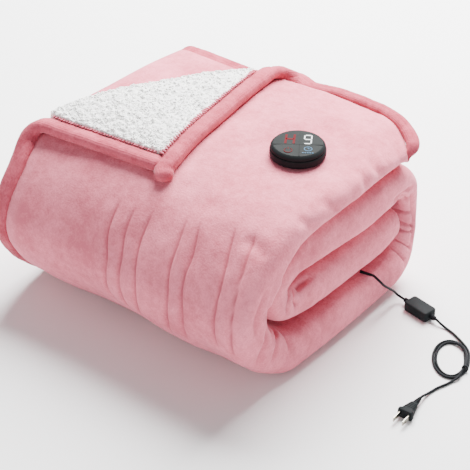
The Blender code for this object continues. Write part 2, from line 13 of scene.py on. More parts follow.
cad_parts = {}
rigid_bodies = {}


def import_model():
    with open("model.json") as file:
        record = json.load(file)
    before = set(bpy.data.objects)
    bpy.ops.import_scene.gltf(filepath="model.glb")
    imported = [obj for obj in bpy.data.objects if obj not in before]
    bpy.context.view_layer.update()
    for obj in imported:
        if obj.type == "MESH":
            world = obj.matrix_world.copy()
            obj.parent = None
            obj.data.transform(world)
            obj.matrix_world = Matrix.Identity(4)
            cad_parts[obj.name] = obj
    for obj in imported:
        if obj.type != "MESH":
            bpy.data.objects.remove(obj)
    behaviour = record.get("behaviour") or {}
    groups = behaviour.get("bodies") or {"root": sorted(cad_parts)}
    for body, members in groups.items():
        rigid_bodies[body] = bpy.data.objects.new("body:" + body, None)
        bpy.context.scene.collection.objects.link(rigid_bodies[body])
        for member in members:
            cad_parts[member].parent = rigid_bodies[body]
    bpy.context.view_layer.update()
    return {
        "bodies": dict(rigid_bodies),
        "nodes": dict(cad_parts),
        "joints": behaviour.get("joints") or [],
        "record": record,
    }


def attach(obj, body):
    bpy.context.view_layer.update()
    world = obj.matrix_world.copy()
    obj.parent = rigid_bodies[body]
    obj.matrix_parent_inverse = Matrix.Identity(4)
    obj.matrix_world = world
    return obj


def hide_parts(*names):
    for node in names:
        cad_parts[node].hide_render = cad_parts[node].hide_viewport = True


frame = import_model()
random.seed(7)
noise.seed_set(1)
millimetre = 0.001
shift = Vector((0.0115, -0.0056, 0.0))  # from the winding's own numbers to the part's origin


def newObject(name, data):
    made = bpy.data.objects.new(name, data)
    bpy.context.scene.collection.objects.link(made)
    return made


def newMaterial(name, colour, roughness, values=None):
    made = bpy.data.materials.new(name)
    made.use_nodes = True
    shader = made.node_tree.nodes["Principled BSDF"]
    shader.inputs["Base Color"].default_value = (*colour, 1)
    shader.inputs["Roughness"].default_value = roughness
    for key, value in (values or {}).items():
        shader.inputs[key].default_value = value
    return made, made.node_tree, shader


# ---------- camera, floor and light
view = {
    "azimuth": 39.0,
    "elevation": 34.5,
    "lens": 114.89,
    "place": (1.0699, -1.2767, 1.2197),
    "floorColour": (0.93, 0.93, 0.93),
    "sky": 0.38,
}


def setUpStage():
    eye = newObject("camera", bpy.data.cameras.new("camera"))
    eye.data.lens = view["lens"]
    eye.data.sensor_width = 36
    eye.location = view["place"]
    eye.rotation_euler = (math.radians(90 - view["elevation"]), 0, math.radians(view["azimuth"]))
    bpy.context.scene.camera = eye

    work = bmesh.new()
    bmesh.ops.create_grid(work, x_segments=1, y_segments=1, size=4)
    mesh = bpy.data.meshes.new("floor")
    work.to_mesh(mesh)
    work.free()
    floor = newObject("floor", mesh)
    mesh.materials.append(newMaterial("stagePaper", view["floorColour"], 0.9)[0])

    world = bpy.data.worlds.new("studio")
    world.use_nodes = True
    sky = world.node_tree.nodes["Background"]
    sky.inputs["Color"].default_value = (1, 1, 1, 1)
    sky.inputs["Strength"].default_value = view["sky"]
    bpy.context.scene.world = world

    lamps = (
        # name, size, power, place, aims at
        ("topLamp", 1.7, 335, (-0.42, 1.24, 1.84), (0, 0, 0.1)),
        ("frontLamp", 1.2, 9.0, (-0.7, -1.7, 0.75), (0, 0, 0.1)),
        ("sideLamp", 0.9, 6.0, (1.55, -0.75, 0.5), (0.15, 0, 0.08)),
    )
    for name, size, power, place, target in lamps:
        lamp = newObject(name, bpy.data.lights.new(name, "AREA"))
        lamp.data.size = size
        lamp.data.energy = power
        lamp.location = place
        lamp.rotation_euler = (Vector(target) - Vector(place)).to_track_quat("-Z", "Y").to_euler()


setUpStage()
print("stage ready")


# ---------- material helpers
def addNode(tree, kind, place, **values):
    node = tree.nodes.new("ShaderNode" + kind)
    node.location = place
    for key, value in values.items():
        if key in node.inputs:
            node.inputs[key].default_value = value
        else:
            setattr(node, key, value)
    return node


def wire(tree, *links):
    for start, output, end, into in links:
        tree.links.new(start.outputs[output], end.inputs[into])


def groupOf(name, sockets, outputs):
    # a node group with its named inputs and outputs
    group = bpy.data.node_groups.new(name, "ShaderNodeTree")
    for key, kind, value in sockets:
        socket = group.interface.new_socket(key, in_out="INPUT", socket_type="NodeSocket" + kind)
        socket.default_value = value
    for key, kind in outputs:
        group.interface.new_socket(key, in_out="OUTPUT", socket_type="NodeSocket" + kind)
    return group, group.nodes.new("NodeGroupInput"), group.nodes.new("NodeGroupOutput")


def placeGroup(tree, group, **values):
    node = addNode(tree, "Group", (-600, 0), node_tree=group)
    for key, value in values.items():
        node.inputs[key].default_value = value
    return node


def rampOf(tree, place, stops):
    ramp = addNode(tree, "ValToRGB", place)
    band = ramp.color_ramp
    while len(band.elements) < len(stops):
        band.elements.new(0.5)
    for element, (position, colour) in zip(band.elements, stops):
        element.position = position
        element.color = (*colour, 1)
    return ramp


pileLook = {
    "warp": 9.0,             # noise cells to the metre: the warp, the brushing
    "bend": 0.035,
    "brush": 95.0,
    "brushShare": 0.80,      # how much brushing and single hairs add to the patches
    "hairShare": 0.55,
    "span": (0.95, 1.40),    # their sum where the pile is deepest and lightest
    "heightShare": 0.5,
    "relief": (0.55, 0.0012),
    "rough": 0.92,
    "sheenRough": 0.38,
    "sheenTint": (1.0, 0.74, 0.79),
    "shine": 0.1,
}


def buildPileGroup():
    # brushed nap: warped patches where it lies one way or the other, under finer brushing and single hairs
    group, start, end = groupOf("brushedPile", (
        ("Light", "Color", (0.9, 0.6, 0.65, 1)),
        ("Deep", "Color", (0.6, 0.3, 0.35, 1)),
        ("Patch", "Float", 14.0),
        ("Nap", "Float", 420.0),
    ), (("Color", "Color"), ("Height", "Float")))
    spot = addNode(group, "TexCoord", (-900, 0))
    warp = addNode(group, "TexNoise", (-700, -200), Scale=pileLook["warp"], Detail=2.0)
    bend = addNode(group, "VectorMath", (-500, -100), operation="MULTIPLY_ADD")
    bend.inputs[1].default_value = (pileLook["bend"],) * 3
    patch = addNode(group, "TexNoise", (-300, 100), Detail=3.0, Roughness=0.55)
    brush = addNode(group, "TexNoise", (-300, -100), Scale=pileLook["brush"], Detail=4.0,
                    Roughness=0.68)
    nap = addNode(group, "TexNoise", (-300, -300), Detail=2.0, Roughness=0.6)
    both = addNode(group, "Math", (-100, 0), operation="MULTIPLY_ADD")
    both.inputs[1].default_value = pileLook["brushShare"]
    grain = addNode(group, "Math", (0, -150), operation="MULTIPLY_ADD")
    grain.inputs[1].default_value = pileLook["hairShare"]
    span = addNode(group, "MapRange", (100, 0))
    span.inputs["From Min"].default_value, span.inputs["From Max"].default_value = pileLook["span"]
    mix = addNode(group, "Mix", (300, 0), data_type="RGBA")
    height = addNode(group, "Math", (100, -300), operation="MULTIPLY_ADD")
    height.inputs[1].default_value = pileLook["heightShare"]
    wire(group, (spot, "Object", warp, "Vector"), (warp, "Color", bend, 0), (spot, "Object", bend, 2),
         (bend, 0, patch, "Vector"), (start, "Patch", patch, "Scale"), (spot, "Object", brush, "Vector"),
         (spot, "Object", nap, "Vector"), (start, "Nap", nap, "Scale"), (brush, "Fac", both, 0),
         (patch, "Fac", both, 2), (nap, "Fac", grain, 0), (both, 0, grain, 2), (grain, 0, span, "Value"),
         (span, "Result", mix, "Factor"), (start, "Deep", mix, "A"), (start, "Light", mix, "B"),
         (brush, "Fac", height, 0), (nap, "Fac", height, 2), (mix, "Result", end, "Color"),
         (height, 0, end, "Height"))
    return group


pileGroup = buildPileGroup()


def pileMaterial(name, light, deep, sheen, patch=14.0, seam=None, ridgeHighlight=None):
    made, tree, shader = newMaterial(name, light, pileLook["rough"], {
        "Sheen Weight": sheen, "Sheen Roughness": pileLook["sheenRough"],
        "Sheen Tint": (*pileLook["sheenTint"], 1), "Specular IOR Level": pileLook["shine"]})
    pile = placeGroup(tree, pileGroup, Light=(*light, 1), Deep=(*deep, 1), Patch=patch)
    strength, distance = pileLook["relief"]
    relief = addNode(tree, "Bump", (-250, -250), Strength=strength, Distance=distance)
    wire(tree, (pile, "Height", relief, "Height"), (relief, "Normal", shader, "Normal"))
    if seam:    # painted light: the darker seam colour is painted shade in the channel and wrinkle grooves, the lighter colour a painted highlight on sharply turned fold ridges
        ridgeHighlightNode = addNode(tree, "Attribute", (-600, 250), attribute_name="ridgeHighlight")
        bright = addNode(tree, "Mix", (-420, 100), data_type="RGBA")
        bright.inputs["B"].default_value = (*ridgeHighlight, 1)
        grooveShade = addNode(tree, "Attribute", (-600, -250), attribute_name="grooveShade")
        shade = addNode(tree, "Mix", (-250, 0), data_type="RGBA")
        shade.inputs["B"].default_value = (*seam, 1)
        wire(tree, (ridgeHighlightNode, "Fac", bright, "Factor"), (pile, "Color", bright, "A"),
             (grooveShade, "Fac", shade, "Factor"), (bright, "Result", shade, "A"),
             (shade, "Result", shader, "Base Color"))
    else:
        wire(tree, (pile, "Color", shader, "Base Color"))
    return made


# the seam colour is painted shade for the grooves, and the lighter colour after it a painted highlight for
# the fold ridges
flannelPile = pileMaterial("roseFlannel", (0.80, 0.228, 0.298), (0.58, 0.134, 0.184), 0.20,
                           seam=(0.40, 0.076, 0.104), ridgeHighlight=(0.88, 0.34, 0.42))
bindingPile = pileMaterial("roseBinding", (0.56, 0.108, 0.152), (0.38, 0.056, 0.084), 0.30, patch=30.0)


def buildGrainGroup():
    # fine grain of a moulded or drawn surface: a slightly uneven colour, roughness and height
    group, start, end = groupOf("surfaceGrain", (
        ("Color", "Color", (0.5, 0.5, 0.5, 1)),
        ("Roughness", "Float", 0.5),
        ("Grain", "Float", 900.0),
        ("Uneven", "Float", 0.25),
    ), (("Color", "Color"), ("Roughness", "Float"), ("Height", "Float")))
    spot = addNode(group, "TexCoord", (-900, 0))
    fine = addNode(group, "TexNoise", (-700, -100), Detail=3.0)
    wide = addNode(group, "TexNoise", (-700, 150), Scale=60.0, Detail=3.0)
    middle = addNode(group, "Math", (-500, 150), operation="SUBTRACT")
    middle.inputs[1].default_value = 0.5
    rough = addNode(group, "Math", (-300, 150), operation="MULTIPLY_ADD")
    rough.inputs[1].default_value = 0.30
    scaled = addNode(group, "Math", (-300, 300), operation="MULTIPLY_ADD")
    scaled.inputs[2].default_value = 1.0
    tint = addNode(group, "VectorMath", (-100, 300), operation="SCALE")
    wire(group, (spot, "Object", fine, "Vector"), (start, "Grain", fine, "Scale"),
         (spot, "Object", wide, "Vector"), (wide, "Fac", middle, 0), (middle, 0, rough, 0),
         (start, "Roughness", rough, 2), (middle, 0, scaled, 0), (start, "Uneven", scaled, 1),
         (start, "Color", tint, 0), (scaled, 0, tint, "Scale"), (tint, 0, end, "Color"),
         (rough, 0, end, "Roughness"), (fine, "Fac", end, "Height"))
    return group


grainGroup = buildGrainGroup()


def grainMaterial(name, colour, roughness, grain, bump, shine, uneven=0.5, glow=None, **values):
    made, tree, shader = newMaterial(name, colour, roughness, {"Specular IOR Level": shine, **values})
    surface = placeGroup(tree, grainGroup, Color=(*colour, 1), Roughness=roughness, Grain=grain,
                         Uneven=uneven)
    relief = addNode(tree, "Bump", (-250, -250), Strength=bump, Distance=0.0002)
    wire(tree, (surface, "Color", shader, "Base Color"), (surface, "Roughness", shader, "Roughness"),
         (surface, "Height", relief, "Height"), (relief, "Normal", shader, "Normal"))
    if glow:
        shader.inputs["Emission Color"].default_value = (*glow[0], 1)
        shader.inputs["Emission Strength"].default_value = glow[1]
    return made


cordVinyl = grainMaterial("cordVinyl", (0.0080, 0.0090, 0.0108), 0.46, 900.0, 0.25, 0.06)
caseBlack = grainMaterial("caseBlack", (0.0150, 0.0172, 0.0182), 0.50, 1400.0, 0.35, 0.03)
faceGrey = grainMaterial("faceGrey", (0.0135, 0.0155, 0.0152), 0.50, 1600.0, 0.15, 0.03)
bladeBrass = grainMaterial("bladeMetal", (0.30, 0.28, 0.23), 0.32, 700.0, 0.10, 0.5, Metallic=1.0)
lineBlack = grainMaterial("lineBlack", (0.0060, 0.0065, 0.0065), 0.6, 900.0, 0.1, 0.05)
stitchThread = grainMaterial("stitchThread", (0.62, 0.17, 0.23), 0.85, 2600.0, 0.5, 0.1, 0.9)
redSegments = grainMaterial("redSegments", (0.012, 0.0, 0.0003), 0.6, 900.0, 0.05, 0.05,
                            glow=((0.38, 0.0, 0.012), 1.0))
whiteSegments = grainMaterial("whiteSegments", (0.4, 0.4, 0.4), 0.6, 900.0, 0.05, 0.05,
                              glow=((0.85, 0.87, 0.88), 2.2))
blueMarks = grainMaterial("blueMarks", (0.04, 0.08, 0.12), 0.6, 900.0, 0.05, 0.05,
                          glow=((0.16, 0.34, 0.56), 0.8))
faintRed = grainMaterial("faintRed", (0.05, 0.001, 0.002), 0.6, 900.0, 0.05, 0.05,
                         glow=((0.15, 0.002, 0.004), 0.7))


# ---------- shared making helpers
def fromWork(name, work, material, sharp=None):
    # the finished piece, smooth but for edges sharper than the angle
    mesh = bpy.data.meshes.new(name)
    work.to_mesh(mesh)
    work.free()
    made = newObject(name, mesh)
    mesh.materials.append(material)
    mesh.shade_smooth()
    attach(made, "root")
    if sharp:
        mesh.set_sharp_from_angle(angle=math.radians(sharp))
    return made


def spun(spots, axis, sides):
    # a closed solid of revolution from an outline that starts and ends on its axis
    work = bmesh.new()
    verts = [work.verts.new(spot) for spot in spots]
    edges = [work.edges.new(pair) for pair in zip(verts, verts[1:])]
    bmesh.ops.spin(work, geom=verts + edges, cent=(0, 0, 0), axis=axis, angle=2 * math.pi, steps=sides,
                   use_merge=True)
    bmesh.ops.remove_doubles(work, verts=work.verts, dist=1e-7)
    bmesh.ops.recalc_face_normals(work, faces=work.faces)
    return work


def turnAndMove(work, turn, move=(0, 0, 0), verts=None):
    verts = verts or work.verts
    bmesh.ops.rotate(work, cent=(0, 0, 0), matrix=turn, verts=verts)
    bmesh.ops.translate(work, vec=move, verts=verts)


def block(size):
    work = bmesh.new()
    bmesh.ops.create_cube(work, size=1)
    bmesh.ops.scale(work, vec=size, verts=work.verts)
    return work


def roundEdges(work, edges, offset, steps):
    bmesh.ops.bevel(work, geom=edges, offset=offset, segments=steps, profile=0.5, affect="EDGES",
                    material=-1)


def catmull(values, row):
    # smooth curve through a list of numbers, read at a place that need not be whole
    last = len(values) - 1
    row = min(max(row, 0.0), float(last))
    low = min(int(row), last - 1)
    part = row - low
    before, start, end, after = (values[min(max(low + k, 0), last)] for k in (-1, 0, 1, 2))
    leadIn, leadOut = 0.5 * (end - before), 0.5 * (after - start)
    square, cube = part * part, part ** 3
    return (start * (2 * cube - 3 * square + 1) + leadIn * (cube - 2 * square + part)
            + end * (3 * square - 2 * cube) + leadOut * (cube - square))


def ease(value):
    value = min(max(value, 0.0), 1.0)
    return value * value * (3.0 - 2.0 * value)


def edgeOf(inside, low, high, rounds):
    # by halving, the value up to which inside holds
    for _ in range(rounds):
        half = 0.5 * (low + high)
        low, high = (half, high) if inside(half) else (low, half)
    return low


def easeAll(values):
    values = np.clip(values, 0.0, 1.0)
    return values * values * (3.0 - 2.0 * values)


def evenPath(route, step):
    # points about a step apart on a smooth curve through the route
    route = [Vector(point) for point in route]
    axes = [[point[k] for point in route] for k in range(3)]
    count = 24 * (len(route) - 1)
    fine = [Vector([catmull(axis, (len(route) - 1) * k / count) for axis in axes]) for k in range(count + 1)]
    lengths = np.cumsum([0.0] + [(b - a).length for a, b in zip(fine, fine[1:])])
    pieces = max(2, round(lengths[-1] / step))
    wanted = np.linspace(0.0, lengths[-1], pieces + 1)
    return [Vector([float(np.interp(w, lengths, [p[k] for p in fine])) for k in range(3)]) for w in wanted]


def pathLength(points):
    return sum((b - a).length for a, b in zip(points, points[1:]))


def gridSurface(name, rings, material, values=None):
    # a fine closed grid whose rows are the rings, with a cap at each end
    rings = np.concatenate([rings, rings[:, :1]], axis=1)
    rows, across = rings.shape[:2]
    work = bmesh.new()
    bmesh.ops.create_grid(work, x_segments=across - 1, y_segments=rows - 1, size=1)
    work.verts.ensure_lookup_table()
    for vert, place in zip(work.verts, rings.reshape(-1, 3)):
        vert.co = place
    for key, field in (values or {}).items():
        layer = work.verts.layers.float.new(key)
        for vert, value in zip(work.verts, np.concatenate([field, field[:, :1]], axis=1).ravel()):
            vert[layer] = value
    seam = [work.verts[row * across + side] for row in range(rows) for side in (0, across - 1)]
    bmesh.ops.remove_doubles(work, verts=seam, dist=1e-7)
    rims = [edge for edge in work.edges if edge.is_boundary]
    caps = bmesh.ops.holes_fill(work, edges=rims, sides=0)["faces"]
    bmesh.ops.triangulate(work, faces=caps)
    bmesh.ops.recalc_face_normals(work, faces=work.faces)
    return fromWork(name, work, material)


def ringNormals(rings):
    # outward directions of a closed grid of rings, found from its neighbours
    along = np.gradient(rings, axis=0)
    around = np.roll(rings, -1, axis=1) - np.roll(rings, 1, axis=1)
    normal = np.cross(along, around)
    return normal / np.maximum(np.linalg.norm(normal, axis=2, keepdims=True), 1e-12)


# ---------- cords, box and plug
# how high the cord rests, how far it runs straight at a fitting and is held in it, the play under and
# between fittings; ribs are a relief's radius at its start and end, its rings and how deep they are cut
cordSize = {"radius": 0.00175, "rest": 0.00215, "straight": 0.004, "held": 0.0010, "lift": 0.0004,
            "gap": 0.0003, "leadStep": 0.0035, "mainStep": 0.0030}
sleevePiece = {"start": (0.1800, 0.0750, 0.0628), "way": (1.0, 0.28, -0.10), "length": 0.016,
               "ribs": (0.0022, 0.00195, 4, 0.06)}
boxPiece = {"centre": (0.2490, 0.1193), "turn": -10.5, "size": (0.0400, 0.0225, 0.0140), "nub": 0.007,
            "corner": 0.0042, "rim": 0.0022, "seam": (0.0005, 0.00035), "ribs": (0.0038, 0.0032, 2, 0.26)}
coilPiece = {"centre": (0.3340, 0.0615), "half": (0.0355, 0.0205), "turn": -58.0, "turns": 2,
             # how far outside the plain ring it comes in, and lies beside the other turn, how far it
             # rises over them, and how far out and up it leaves
             "arrive": 0.0030, "beside": 0.00185, "over": 0.0034, "leave": (0.0061, 0.0012),
             # where each change starts and how long it takes, in degrees round the coil
             "settle": (0, 40), "goIn": (300, 55), "goMiddle": (640, 50), "goOver": (630, 60), "goOff": 30}
plugPiece = {"end": (0.3490, -0.0330), "turn": -87.0, "relief": 0.013, "size": (0.024, 0.0205, 0.0135),
             "ribs": (0.0024, 0.0044, 4, 0.22), "edge": 0.0030, "rim": 0.0010,
             # shares of its length and size: a flange at the face, narrower behind it, grips across it
             "flange": (0.22, 0.30), "behind": 0.84, "waist": (0.56, 0.78),
             "grips": (-0.30, -0.18, -0.06, 0.06), "gripHalf": 0.0007, "gripDepth": 0.0005,
             "blade": (0.0155, 0.0015, 0.0063), "bladeHole": (0.0038, 0.0016), "pitch": 0.0127}
tiePiece = {"angle": 56, "outward": 0.0012, "level": 0.0050, "ring": 0.0044, "wire": 0.0010}
leadRoute = ((0.2070, 0.0812, 0.0560), (0.2105, 0.0880, 0.0462), (0.2112, 0.1005, 0.0345),
             (0.2108, 0.1135, 0.0220), (0.2120, 0.1218, 0.0120))
mainRoute = ((0.2870, 0.1130, 0.0042), (0.2960, 0.1120, 0.00215), (0.3060, 0.1093, 0.00215),
             (0.3170, 0.1048, 0.00215), (0.3275, 0.0998, 0.00215), (0.3378, 0.0938, 0.00215),
             (0.3470, 0.0856, 0.00215))
tailRoute = ((0.3590, 0.0240, 0.00215), (0.3560, 0.0140, 0.00215), (0.3520, 0.0030, 0.00215),
             (0.3495, -0.0090, 0.00215), (0.3485, -0.0210, 0.0044))


def heading(degrees):
    return Vector((math.cos(math.radians(degrees)), math.sin(math.radians(degrees)), 0.0))


def coilSpot(angle, outward, level):
    major, minor = heading(coilPiece["turn"]), heading(coilPiece["turn"] + 90)
    longHalf, shortHalf = coilPiece["half"]
    across, along = math.cos(angle), math.sin(angle)
    out = (major * (shortHalf * across) + minor * (longHalf * along)).normalized()
    middle = Vector((*coilPiece["centre"], level))
    return middle + major * (longHalf * across) + minor * (shortHalf * along) + out * outward


def cordCurve(name, points, exit, length, farEnd, lay, **extra):
    curve = bpy.data.curves.new(name, "CURVE")
    curve.dimensions = "3D"
    line = curve.splines.new("POLY")
    line.points.add(len(points) - 1)
    for slot, point in zip(line.points, points):
        slot.co = (*point, 1)
    curve.bevel_depth = cordSize["radius"]
    curve.bevel_resolution = 4
    curve.use_fill_caps = True
    curve.materials.append(cordVinyl)
    made = newObject(name, curve)
    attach(made, "root")
    return made


def placeAlong(work, centre, way):
    turnAndMove(work, way.to_track_quat("X", "Z").to_matrix(), centre)


def cutAcross(work, places, normal):
    for place in places:
        bmesh.ops.bisect_plane(work, geom=work.verts[:] + work.edges[:] + work.faces[:],
                               plane_co=Vector(normal) * place, plane_no=normal)


def turnedRod(name, start, way, outline, material, sides=32):
    # a solid of revolution along way, from pairs of distance and radius
    work = spun([(distance, 0.0, radius) for distance, radius in outline], (1, 0, 0), sides)
    placeAlong(work, start, way)
    return fromWork(name, work, material, 40)


def ribbedOutline(length, startRadius, endRadius, ribs, share):
    # a tapered strain relief with rings cut into it, closed at both ends
    outline = [(0.0, 0.0), (0.0, startRadius)]
    for k in range(ribs):
        near, far = (k + 0.35) / (ribs + 0.6), (k + 0.75) / (ribs + 0.6)
        for part, cut in ((near, 0), (near + 0.02, 1), (far - 0.02, 1), (far, 0)):
            radius = startRadius + (endRadius - startRadius) * part
            outline.append((length * part, radius * (1 - share * cut)))
    return outline + [(length, endRadius), (length, 0.0)]


def buildSleeve():
    way = Vector(sleevePiece["way"]).normalized()
    start = Vector(sleevePiece["start"]) + shift
    made = turnedRod("cordSleeve", start, way,
                     ribbedOutline(sleevePiece["length"], *sleevePiece["ribs"]), cordVinyl, 24)
    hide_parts("cord_sleeve")
    return made, start + way * (sleevePiece["length"] - cordSize["held"]), way


def buildBox():
    way = heading(boxPiece["turn"])
    length, _, height = boxPiece["size"]
    centre = Vector((*boxPiece["centre"], height / 2 + cordSize["lift"])) + shift
    work = block(boxPiece["size"])
    upright = [e for e in work.edges if abs((e.verts[0].co - e.verts[1].co).normalized().z) > 0.9]
    roundEdges(work, upright, boxPiece["corner"], 6)
    rims = [e for e in work.edges if abs(e.verts[0].co.z - e.verts[1].co.z) < 1e-6]
    roundEdges(work, rims, boxPiece["rim"], 4)
    # the parting line of the two shells, pressed in all round
    seamWidth, seamDepth = boxPiece["seam"]
    cutAcross(work, [-seamWidth / 2, seamWidth / 2], (0, 0, 1))
    band = [f for f in work.faces
            if abs(f.calc_center_median().z) < seamWidth * 0.4 and abs(f.normal.z) < 0.5]
    bmesh.ops.inset_region(work, faces=band, thickness=0.00006, depth=-seamDepth, use_even_offset=True)
    bmesh.ops.recalc_face_normals(work, faces=work.faces)
    placeAlong(work, centre, way)
    box = fromWork("inlineBox", work, caseBlack, 35)
    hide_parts("inline_box")
    half, pieces = length / 2 + cordSize["gap"], [box]
    for name, node, side in (("boxNubIn", "box_nub_in", -1), ("boxNubOut", "box_nub_out", 1)):
        nub = turnedRod(name, centre + way * (side * half), way * side,
                        ribbedOutline(boxPiece["nub"], *boxPiece["ribs"]), cordVinyl)
        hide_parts(node)
        pieces.append(nub)
    return pieces, centre, way, half + boxPiece["nub"] - cordSize["held"]


onEdge = Matrix.Rotation(math.radians(90), 3, "X")


def bladeShape(length, thick, wide, around=48):
    # a flat blade with rounded tip corners and the round hole near its tip
    work, loops = bmesh.new(), []
    inset, holeRadius = plugPiece["bladeHole"]
    hole = length / 2 - inset
    for high, edge in ((1, "hole"), (1, "flat"), (0.72, "rim"), (-0.72, "rim"), (-1, "flat"), (-1, "hole")):
        verts = bmesh.ops.create_circle(work, segments=around, radius=1)["verts"]
        for k, vert in enumerate(verts):
            across, along = math.cos(2 * math.pi * k / around), math.sin(2 * math.pi * k / around)
            reachX = (length / 2 - hole if across > 0 else length / 2 + hole) / max(abs(across), 1e-6)
            reach = min(reachX, wide / 2 / max(abs(along), 1e-6))
            reach = holeRadius if edge == "hole" else reach - (0.0003 if edge == "flat" else 0.0)
            vert.co = (hole + across * reach, along * reach, high * thick / 2)
        loops.append([e for e in work.edges if all(v in verts for v in e.verts)])
    for first, second in zip(loops, loops[1:] + loops[:1]):
        bmesh.ops.bridge_loops(work, edges=first + second)
    bmesh.ops.recalc_face_normals(work, faces=work.faces)
    turnAndMove(work, onEdge)
    return work


def buildPlug():
    way = heading(plugPiece["turn"])
    aside = Vector((-way.y, way.x, 0.0))
    length, _, height = plugPiece["size"]
    start = Vector((*plugPiece["end"], height / 2 + cordSize["lift"])) + shift
    relief = turnedRod("plugRelief", start, way, ribbedOutline(plugPiece["relief"], *plugPiece["ribs"]),
                       cordVinyl)
    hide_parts("plug_relief")
    work = block(plugPiece["size"])
    cutAcross(work, [length * share for share in plugPiece["flange"]], (1, 0, 0))
    behind, flange = plugPiece["behind"], length * sum(plugPiece["flange"]) / 2
    bmesh.ops.scale(work, vec=(1, behind, behind), verts=[v for v in work.verts if v.co.x < flange])
    bmesh.ops.scale(work, vec=(1, *plugPiece["waist"]), verts=[v for v in work.verts if v.co.x < 0])
    long = [e for e in work.edges if abs(e.verts[0].co.x - e.verts[1].co.x) > 0.001]
    roundEdges(work, long, plugPiece["edge"], 5)
    ends = [e for e in work.edges if max(abs(abs(v.co.x) - length / 2) for v in e.verts) < 1e-6]
    roundEdges(work, ends, plugPiece["rim"], 3)
    half, deep = plugPiece["gripHalf"], plugPiece["gripDepth"]
    for share in plugPiece["grips"]:
        middle = length * share
        cutAcross(work, [middle - half, middle + half], (1, 0, 0))
        grip = [f for f in work.faces
                if abs(f.calc_center_median().x - middle) < half * 0.7 and abs(f.normal.x) < 0.7]
        bmesh.ops.inset_region(work, faces=grip, thickness=0.0001, depth=-deep, use_even_offset=True)
    bmesh.ops.recalc_face_normals(work, faces=work.faces)
    centre = start + way * (plugPiece["relief"] + cordSize["gap"] + length / 2)
    placeAlong(work, centre, way)
    body = fromWork("plugBody", work, caseBlack, 35)
    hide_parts("plug_body")
    pieces = [relief, body]
    face = centre + way * (length / 2 + cordSize["gap"] + plugPiece["blade"][0] / 2)
    for name, node, side in (("plugBladeLeft", "plug_blade_left", 1),
                             ("plugBladeRight", "plug_blade_right", -1)):
        work = bladeShape(*plugPiece["blade"])
        placeAlong(work, face + aside * (side * plugPiece["pitch"] / 2), way)
        blade = fromWork(name, work, bladeBrass, 35)
        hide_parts(node)
        pieces.append(blade)
    return pieces, start, way


def buildCoilTie():
    # the twist tie that holds the coil's turns at its outer end
    spot, after = (coilSpot(math.radians(tiePiece["angle"] - back), tiePiece["outward"], tiePiece["level"])
                   + shift for back in (0, 2))
    way = (after - spot).normalized()
    work = bmesh.new()
    bmesh.ops.create_circle(work, segments=10, radius=tiePiece["wire"])
    turnAndMove(work, onEdge, (tiePiece["ring"], 0, 0))
    bmesh.ops.spin(work, geom=work.verts[:] + work.edges[:], cent=(0, 0, 0), axis=(0, 0, 1),
                   angle=2 * math.pi, steps=32, use_merge=True)
    bmesh.ops.remove_doubles(work, verts=work.verts, dist=1e-7)
    bmesh.ops.scale(work, vec=(0.86, 1.0, 1.7), verts=work.verts)
    bmesh.ops.recalc_face_normals(work, faces=work.faces)
    turnAndMove(work, way.to_track_quat("Z", "Y").to_matrix(), spot)
    tie = fromWork("coilTie", work, cordVinyl)
    return tie


def coilRoute():
    # round the outside, then inside the first turn, and over both to where the tail leaves
    start, leave = math.radians(90), math.radians(360 / 28) - 2 * math.pi * coilPiece["turns"]
    low, high = cordSize["rest"], cordSize["rest"] + coilPiece["over"]
    arrive, beside = coilPiece["arrive"], coilPiece["beside"]
    leaveOut, leaveUp = coilPiece["leave"]
    off = coilPiece["goOff"]
    steps, route = 36 * coilPiece["turns"], []
    for k in range(steps + 1):
        angle = start + (leave - start) * k / steps
        gone = math.degrees(start - angle)
        settle, goIn, goMiddle, goOver = (ease((gone - coilPiece[key][0]) / coilPiece[key][1])
                                          for key in ("settle", "goIn", "goMiddle", "goOver"))
        outward = arrive + (beside - arrive) * settle - 2 * beside * goIn + beside * goMiddle
        level = low + (high - low) * goOver
        last = ease((gone - (math.degrees(start - leave) - off)) / off)
        outward += (leaveOut - outward) * last
        level += (low + leaveUp - level) * last ** 2
        route.append(coilSpot(angle, outward, level) + shift)
    return route


def buildCords():
    sleeve, leadStart, sleeveWay = buildSleeve()
    boxPieces, boxCentre, boxWay, nubEnd = buildBox()
    plugPieces, plugStart, plugWay = buildPlug()
    straight = cordSize["straight"]
    lead = [leadStart, leadStart + sleeveWay * straight] + [Vector(p) + shift for p in leadRoute]
    lead += [boxCentre - boxWay * (nubEnd + straight), boxCentre - boxWay * nubEnd]
    leadPoints = evenPath(lead, cordSize["leadStep"])
    made = cordCurve("leadCord", leadPoints, leadPoints[0], round(pathLength(leadPoints), 3), "fitting",
                     "loose", with_pieces=[sleeve] + boxPieces)
    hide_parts("cord_lead")

    route = [boxCentre + boxWay * nubEnd, boxCentre + boxWay * (nubEnd + straight)]
    route += [Vector(p) + shift for p in mainRoute]
    route += coilRoute()
    route += [Vector(p) + shift for p in tailRoute]
    route += [plugStart - plugWay * straight, plugStart + plugWay * cordSize["held"]]
    mainPoints = evenPath(route, cordSize["mainStep"])
    tie = buildCoilTie()
    made = cordCurve("mainCord", mainPoints, mainPoints[0], round(pathLength(mainPoints), 3), "plug",
                     "coiled", with_pieces=plugPieces + [tie])
    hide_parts("cord_main", "cord_coil", "cord_tail")
    print("cords", round(pathLength(leadPoints), 3), round(pathLength(mainPoints), 3))


buildCords()


